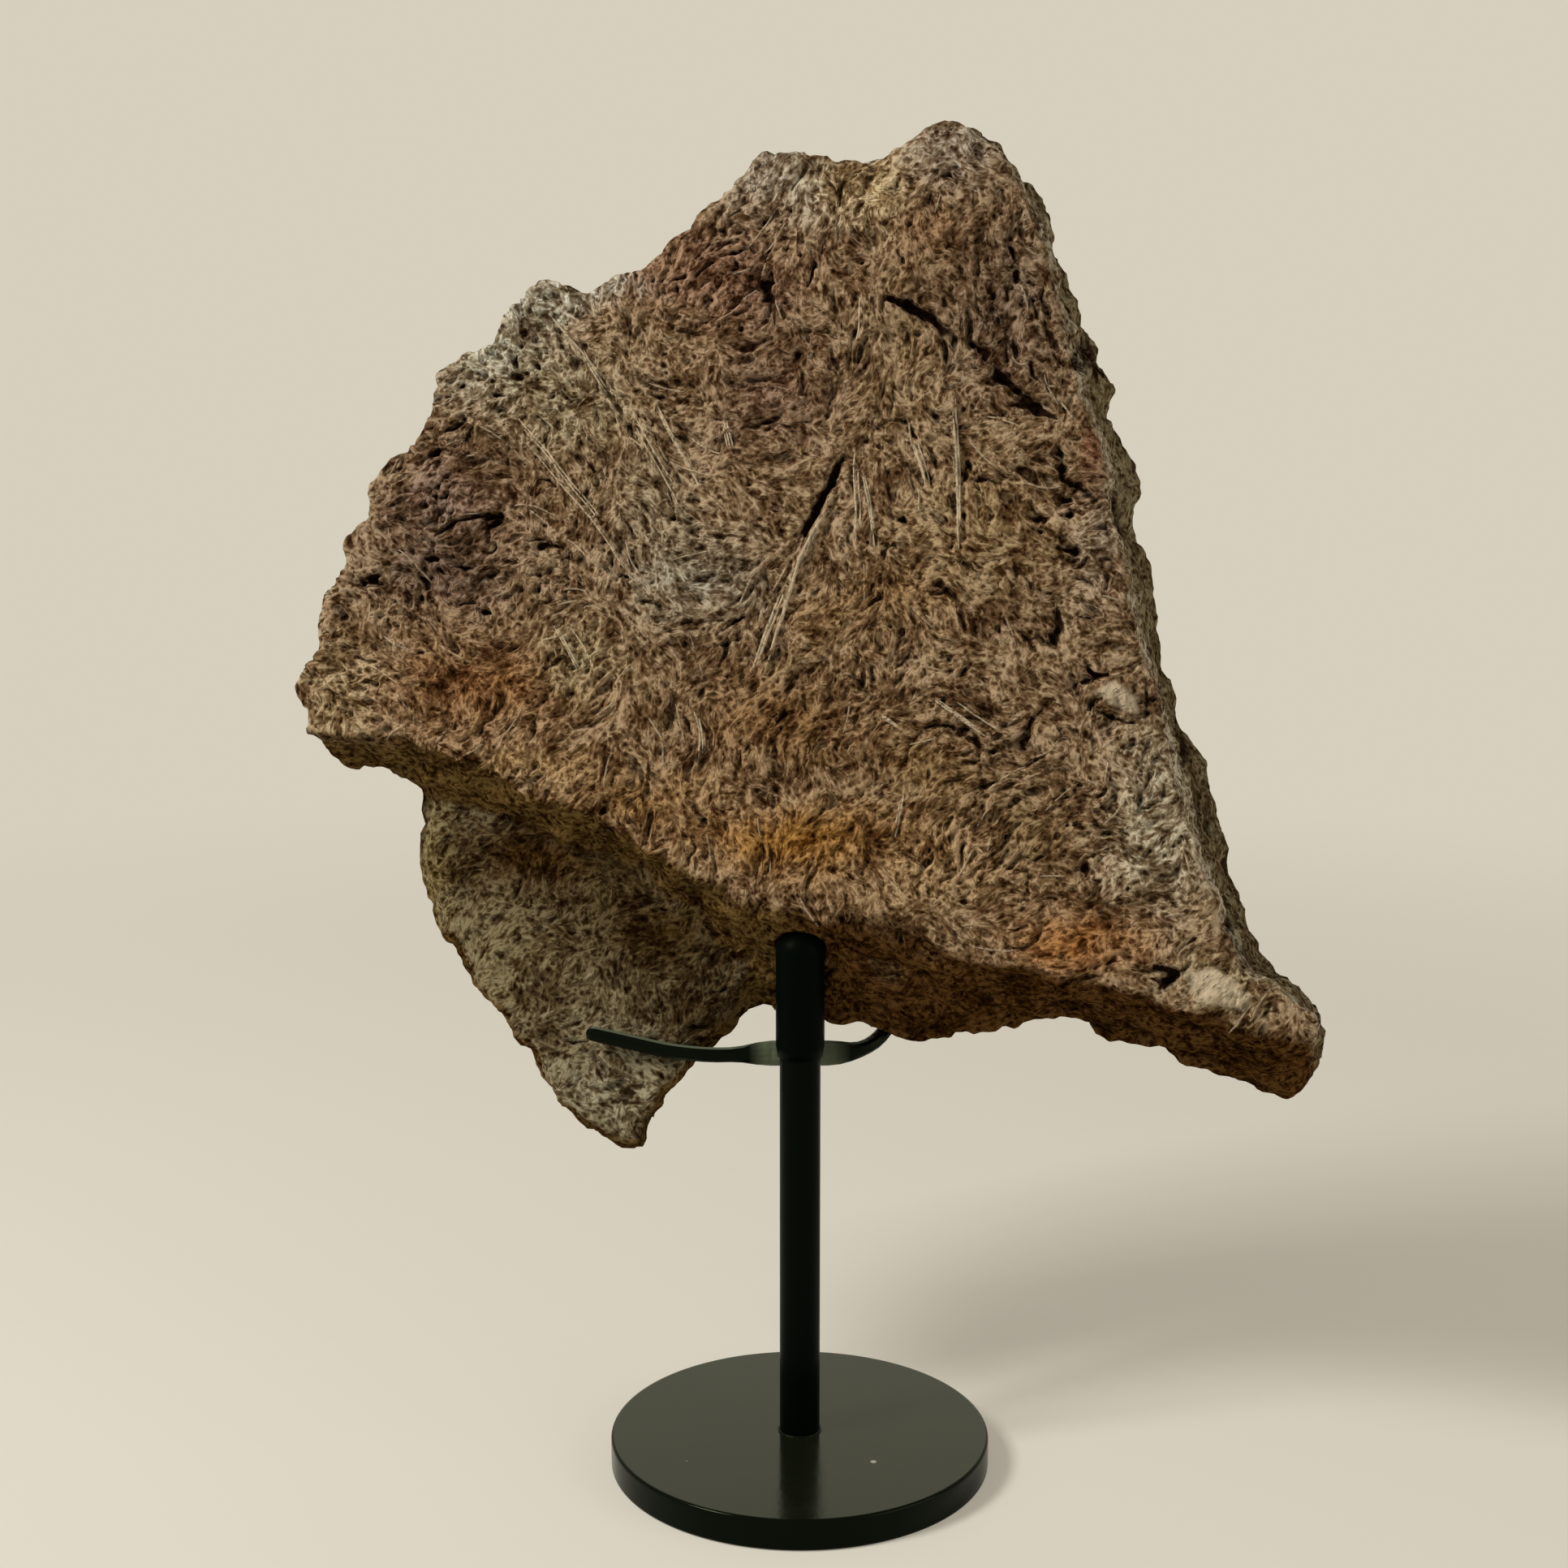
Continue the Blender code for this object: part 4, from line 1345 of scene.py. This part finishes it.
disc_top, disc_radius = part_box("base_disc")[1].z / MM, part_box("base_disc")[1].x / MM
rim = [(disc_radius - RIM_RADIUS * (1 - cosine), RIM_RADIUS * sine) for sine, cosine in arc(15)]
profile = [(0, 0), (disc_radius - RIM_RADIUS - SUPPORT, 0)]
profile += [(radius, RIM_RADIUS - lift) for radius, lift in reversed(rim)]
profile += [(disc_radius, RIM_RADIUS + SUPPORT), (disc_radius, disc_top - RIM_RADIUS - SUPPORT)]
profile += [(radius, disc_top - RIM_RADIUS + lift) for radius, lift in rim]
profile += [(disc_radius - RIM_RADIUS - SUPPORT, disc_top), (0, disc_top)]
painted_disc = turned("painted_disc", profile, DISC_SIDES)
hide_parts("base_disc")
print(f"disc: {2 * disc_radius:.0f} mm across and {disc_top:.0f} mm thick")

# %% [markdown]
# The steel pieces are welded to each other. A hand weld is a small bead with ripples, one for each dip of
# the rod, and lumps where the hand slowed. It is made as a thin tube along a route: a ring at the post's
# foot, and a short run above and below the rod where it meets the sleeve.

# %% Weld beads
FOOT_THICKNESS = 0.4
FOOT_OUT, FOOT_UP = 0.2, 0.15
ROD_WELD_THICKNESS = 1.0
BEAD_SIDES = 8
RIPPLE_LENGTH, RIPPLE_HEIGHT = 1.3, 0.12
LUMP_SIZE, LUMP_HEIGHT = 1.6, 0.22
THIN_END = 0.35
ROD_WELD_HALF = 4.2
ROD_WELD_INSET = 0.4
ROD_MIDDLE_HALF = 5
NEAR_SLEEVE, NEAR_ROD = 0.45, 0.55


def bead(name, route, thickness, closed):
    """A weld bead along a route of points in millimetres, with the ripples of a hand weld."""
    edit = bmesh.new()
    ahead = np.roll(route, -1, 0) - np.roll(route, 1, 0) if closed else np.gradient(route, axis=0)
    walked = np.cumsum(np.linalg.norm(np.diff(route, axis=0, prepend=route[:1]), axis=1))
    lumps = 1 + LUMP_HEIGHT * soft_noise(route + 9, LUMP_SIZE, seed=81)
    turns = [math.tau * number / BEAD_SIDES for number in range(BEAD_SIDES)]
    rings = []
    for place, forward, far, lump in zip(route, ahead, walked, lumps):
        forward = Vector(forward).normalized()
        side = forward.cross(Vector((0, 0, 1))).normalized()
        above = side.cross(forward)
        fade = 1 if closed else THIN_END + (1 - THIN_END) * math.sin(math.pi * far / walked[-1])
        ripple = 1 + RIPPLE_HEIGHT * math.sin(math.tau * far / RIPPLE_LENGTH)
        wide = float(thickness * lump * fade * ripple)
        ring = [Vector(place) + wide * (side * math.cos(turn) + above * math.sin(turn)) for turn in turns]
        rings.append([edit.verts.new(corner * MM) for corner in ring])
    join_rings(edit, rings, closed)
    return piece_from(name, edit)


turns_round = np.linspace(0, math.tau, 128, endpoint=False)
foot_radius = post_radius + FOOT_OUT
foot_ring = [foot_radius * np.cos(turns_round), foot_radius * np.sin(turns_round)]
foot_route = np.stack((*foot_ring, 0 * turns_round + disc_top + FOOT_UP), 1)
foot_weld = bead("foot_weld", foot_route, FOOT_THICKNESS, closed=True)

middle_of_rod = rod_points[np.abs(rod_points[:, 0]) < ROD_MIDDLE_HALF]
across = np.linspace(-ROD_WELD_HALF, ROD_WELD_HALF, 24)
inwards = NEAR_SLEEVE * np.sqrt(sleeve_radius**2 - across**2) + NEAR_ROD * middle_of_rod[:, 1].min()
upper_height = middle_of_rod[:, 2].max() - ROD_WELD_INSET
lower_height = middle_of_rod[:, 2].min() + ROD_WELD_INSET
rod_welds = []
for side, height in (("upper", upper_height), ("lower", lower_height)):
    route = np.stack((across, inwards, 0 * across + height), 1)
    rod_welds.append(bead(f"{side}_rod_weld", route, ROD_WELD_THICKNESS, closed=False))
print("weld beads:", [weld.name for weld in (foot_weld, *rod_welds)])

# %% [markdown]
# The stand is mild steel under a thin coat of satin black paint with a little green in it. Paint that dries
# on steel keeps a faint ripple, called orange peel, about a millimetre across, which spreads its
# reflections. On the disc's top the coat has a pale film of dust, which also paints in part of the top's
# sheen, with specks and one crumb. On the rod a painted reflection makes the flat middle paler, and a painted
# highlight runs along the top. Paint typically has an IOR of 1.5 and a specular level of 0.5, and the disc's
# top keeps nearly that. The upright pieces get much less, because this scene is pale all round and they
# would mirror it, while the real ones look nearly black.

# %% Black stand paint
SEPARATE = "ShaderNodeSeparateXYZ"
PAINT_COLOUR = "#030705"
# A pale film of dust that also paints in part of the sheen on the disc's top.
DUST_AND_SHEEN_COLOUR = "#343828"
SPECK_COLOUR = "#b5b2a6"
# The pale grey-green of a painted reflection on the rod's flat middle and a painted highlight along its top.
PAINTED_REFLECTION_COLOUR = "#6c7562"
SHEEN_COLOUR = "#d8f0bc"
PAINT_IOR = 1.5
PEEL_SIZE = 1.4 * MM
BROAD_SIZE = 22 * MM
BROAD_FROM, BROAD_TO = 0.3, 0.7
LYING_FROM, LYING_TO = 0.75, 0.98
DUST_AND_SHEEN_LEAST = 0.75
SPECK_SPACING = 2.7 * MM
SPECK_EDGE, SPECK_CORE = 0.10, 0.03
CRUMB_PLACE = (22.7 * MM, -22.6 * MM, 10 * MM)
CRUMB_EDGE, CRUMB_CORE = 1.1 * MM, 0.7 * MM
CRUMB_SHARE = 0.9
PAINTED_REFLECTION_FROM, PAINTED_REFLECTION_TO = 11 * MM, 16 * MM
PAINTED_REFLECTION_PATCHES = (0.35, 0.6, 0.4, 1.0)
TOP_HIGHLIGHT_POWER = 3.0
SMOOTHER, ROUGHER = 0.05, 0.07


def stand_paint(name, gloss, roughness, ripple, dust_and_sheen=0, dust=0, painted_reflection=0):
    """Satin paint on steel: the depth of its ripple, its film of dust and painted sheen, specks of dust, and
    its painted reflection.
    """
    material, tree, shader = new_material(name)
    place = add_node(tree, "ShaderNodeTexCoord", {}, output="Object")
    broad = add_node(tree, NOISE, {}, place, Scale=1 / BROAD_SIZE, Detail=3.0)
    normal = add_node(tree, "ShaderNodeNewGeometry", {}, output="Normal")
    lying = add_node(tree, SEPARATE, {}, normal, output="Z")
    lying = add_node(tree, RANGE, {}, lying, LYING_FROM, LYING_TO)
    colour = linear(PAINT_COLOUR)
    # A pale film of dust on faces that lie flat, which also paints in part of the sheen the disc's top would
    # have.
    if dust_and_sheen:
        dust_and_sheen_share = add_node(tree, RANGE, {}, broad, BROAD_FROM, BROAD_TO, dust_and_sheen * DUST_AND_SHEEN_LEAST, dust_and_sheen)
        dust_and_sheen_share = add_node(tree, MATH, TIMES, lying, dust_and_sheen_share)
        colour = add_node(tree, MIX, COLOURS, dust_and_sheen_share, colour, linear(DUST_AND_SHEEN_COLOUR))
        chosen = add_node(tree, CELLS, {}, place, Scale=1 / SPECK_SPACING, output="Color")
        chosen = add_node(tree, "ShaderNodeSeparateColor", {}, chosen)
        chosen = add_node(tree, MATH, {"operation": "LESS_THAN"}, chosen, dust)
        speck = add_node(tree, CELLS, {}, place, Scale=1 / SPECK_SPACING)
        speck = add_node(tree, RANGE, {}, speck, SPECK_EDGE, SPECK_CORE)
        speck = add_node(tree, MATH, TIMES, speck, lying)
        speck = add_node(tree, MATH, TIMES, speck, chosen)
        crumb = add_node(tree, VECTOR_MATH, {"operation": "DISTANCE"}, place, CRUMB_PLACE)
        crumb = add_node(tree, RANGE, {}, crumb, CRUMB_EDGE, CRUMB_CORE, 0.0, CRUMB_SHARE)
        speck = add_node(tree, MATH, LARGER, speck, crumb)
        colour = add_node(tree, MIX, COLOURS, speck, colour, linear(SPECK_COLOUR))
    # Painted reflection: the rod's flat middle is made paler where it would mirror the pale room, and a
    # painted highlight runs along its top.
    if painted_reflection:
        side = add_node(tree, SEPARATE, {}, place, output="X")
        side = add_node(tree, MATH, {"operation": "ABSOLUTE"}, side)
        reflection_share = add_node(tree, RANGE, {}, side, PAINTED_REFLECTION_FROM, PAINTED_REFLECTION_TO, painted_reflection, 0.0)
        uneven = add_node(tree, RANGE, {}, broad, *PAINTED_REFLECTION_PATCHES)
        reflection_share = add_node(tree, MATH, TIMES, reflection_share, uneven)
        top_highlight = add_node(tree, MATH, TO_POWER, lying, TOP_HIGHLIGHT_POWER)
        top_highlight = add_node(tree, MATH, TIMES, top_highlight, painted_reflection)
        reflection_share = add_node(tree, MATH, LARGER, reflection_share, top_highlight)
        colour = add_node(tree, MIX, COLOURS, reflection_share, colour, linear(PAINTED_REFLECTION_COLOUR))
    least, most = roughness - SMOOTHER, roughness + ROUGHER
    uneven = add_node(tree, RANGE, {}, broad, BROAD_FROM, BROAD_TO, least, most)
    peel = add_node(tree, NOISE, {}, place, Scale=1 / PEEL_SIZE, Detail=2.0)
    bump = add_node(tree, BUMP, {}, Strength=1.0, Distance=ripple, Height=peel)
    finish = {
        "Base Color": colour,
        "Roughness": uneven,
        "Specular IOR Level": gloss,
        "Specular Tint": linear(SHEEN_COLOUR),
        "IOR": PAINT_IOR,
        "Normal": bump,
    }
    for socket, value in finish.items():
        fill(tree, shader.inputs[socket], value)
    print(f"{name}: {len(tree.nodes)} nodes")
    return material


# %% [markdown]
# Each piece of the stand gets its own coat. The disc has two: its top, with dust and painted sheen, and its
# rim.

# %% Paint the stand
TOP_FACE_NORMAL = 0.99

PAINTS = (
    (painted_disc, stand_paint("satin_paint_on_the_rim", gloss=0.08, roughness=0.16, ripple=0.02 * MM)),
    (painted_post, stand_paint("satin_paint_on_the_post", gloss=0.04, roughness=0.3, ripple=0.04 * MM)),
    (domed_sleeve, stand_paint("satin_paint_on_the_sleeve", gloss=0.02, roughness=0.42, ripple=0.08 * MM)),
    (
        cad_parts["cradle_rod"],
        stand_paint("satin_paint_on_the_rod", gloss=0.08, roughness=0.25, ripple=0.06 * MM, painted_reflection=1.0),
    ),
)
for piece, paint in PAINTS:
    piece.data.materials.clear()
    piece.data.materials.append(paint)
top_paint = stand_paint(
    "satin_paint_on_the_disc_top", gloss=0.47, roughness=0.14, ripple=0.02 * MM, dust_and_sheen=0.2, dust=0.006
)
painted_disc.data.materials.append(top_paint)
for face in painted_disc.data.polygons:
    face.material_index = int(face.normal.z > TOP_FACE_NORMAL)
weld_paint = stand_paint("satin_paint_on_the_welds", gloss=0.15, roughness=0.3, ripple=0.05 * MM)
for weld in (foot_weld, *rod_welds):
    weld.data.materials.append(weld_paint)
print("painted:", sorted(piece.name for piece, _ in PAINTS))

# %% [markdown]
# The object stands on plain cream paper. A round floor fades into a world of the same cream, so there is no
# horizon from any side. Part of the paper's light is a glow of its own, which keeps the shadows as pale as
# they are where light comes back from white walls.

# %% Paper floor
PAPER_COLOUR = "#d6cfbd"
PAPER_DIFFUSE = "#bdbdb9"
PAPER_GLOW = "#8d877a"
PAPER_ROUGHNESS = 0.9
FLOOR_RADIUS = 5.0
FLOOR_GAP = 0.1 * MM
FADE_FROM, FADE_TO = 0.4, 1.2

floor_mesh = bpy.data.meshes.new("paper_floor")
edit = bmesh.new()
bmesh.ops.create_circle(edit, cap_ends=True, radius=FLOOR_RADIUS, segments=96)
edit.to_mesh(floor_mesh)
edit.free()
floor = bpy.data.objects.new("paper_floor", floor_mesh)
floor.location.z = -FLOOR_GAP
bpy.context.scene.collection.objects.link(floor)
floor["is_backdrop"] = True

paper, tree, shader = new_material("cream_paper")
fill(tree, shader.inputs["Base Color"], linear(PAPER_DIFFUSE))
fill(tree, shader.inputs["Roughness"], PAPER_ROUGHNESS)
fill(tree, shader.inputs["Emission Color"], linear(PAPER_GLOW))
fill(tree, shader.inputs["Emission Strength"], 1.0)
far_glow = add_node(tree, "ShaderNodeEmission", {}, linear(PAPER_COLOUR), 1.0)
place = add_node(tree, "ShaderNodeTexCoord", {}, output="Object")
distance = add_node(tree, VECTOR_MATH, {"operation": "LENGTH"}, place)
fade = add_node(tree, RANGE, {"interpolation_type": "SMOOTHSTEP"}, distance, FADE_FROM, FADE_TO)
surface = add_node(tree, "ShaderNodeMixShader", {}, fade, shader.outputs[0], far_glow)
output = next(node for node in tree.nodes if node.type == "OUTPUT_MATERIAL")
fill(tree, output.inputs["Surface"], surface)
floor_mesh.materials.append(paper)
print(f"floor: {2 * FLOOR_RADIUS:.0f} m across")

# %% [markdown]
# The world is seen at its full cream, but it lights the object with less than a third of that, so that the
# lamps shape it. The "Standard" view keeps the colours as they were chosen.

# %% The cream surround
WORLD_LIGHT = 0.3

world = bpy.data.worlds.new("cream_surround")
world.use_nodes = True
tree = world.node_tree
diffuse = add_node(tree, "ShaderNodeLightPath", {}, output="Is Diffuse Ray")
strength = add_node(tree, RANGE, {}, diffuse, 0.0, 1.0, 1.0, WORLD_LIGHT)
background = tree.nodes["Background"]
fill(tree, background.inputs["Color"], linear(PAPER_COLOUR))
fill(tree, background.inputs["Strength"], strength)
bpy.context.scene.world = world
bpy.context.scene.view_settings.view_transform = "Standard"
print("the surround lights the object at", WORLD_LIGHT)

# %% [markdown]
# The main light is soft and comes from the upper left, a little in front, as from a window. It throws the
# shadow to the right and back. A weaker and wider one from the right keeps that side from going black.
# Square lamps are soft because they are large: half a metre and over a metre.

# %% Lamps
AIM = Vector((0, 0, 0.25))


def soft_lamp(name, place, size, power, colour):
    """A square lamp that points at the middle of the object."""
    lamp = bpy.data.lights.new(name, "AREA")
    lamp.size = size
    lamp.energy = power
    lamp.color = linear(colour)[:3]
    thing = bpy.data.objects.new(name, lamp)
    thing.location = place
    thing.rotation_euler = (AIM - thing.location).to_track_quat("-Z", "Y").to_euler()
    bpy.context.scene.collection.objects.link(thing)


soft_lamp("window_lamp", (-1.3, -0.6, 1.5), size=0.55, power=33, colour="#fff8ec")
soft_lamp("room_lamp", (1.4, -0.7, 0.6), size=1.2, power=7, colour="#fff3e2")

# %% [markdown]
# The last cell measures the size of the CAD model and of what is shown.

# %% Sizes
shown_low, shown_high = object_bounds()
corners = {"cad": (cad_low, cad_high), "visual": (shown_low, shown_high)}
{name: [list(corner) for corner in pair] for name, pair in corners.items()}
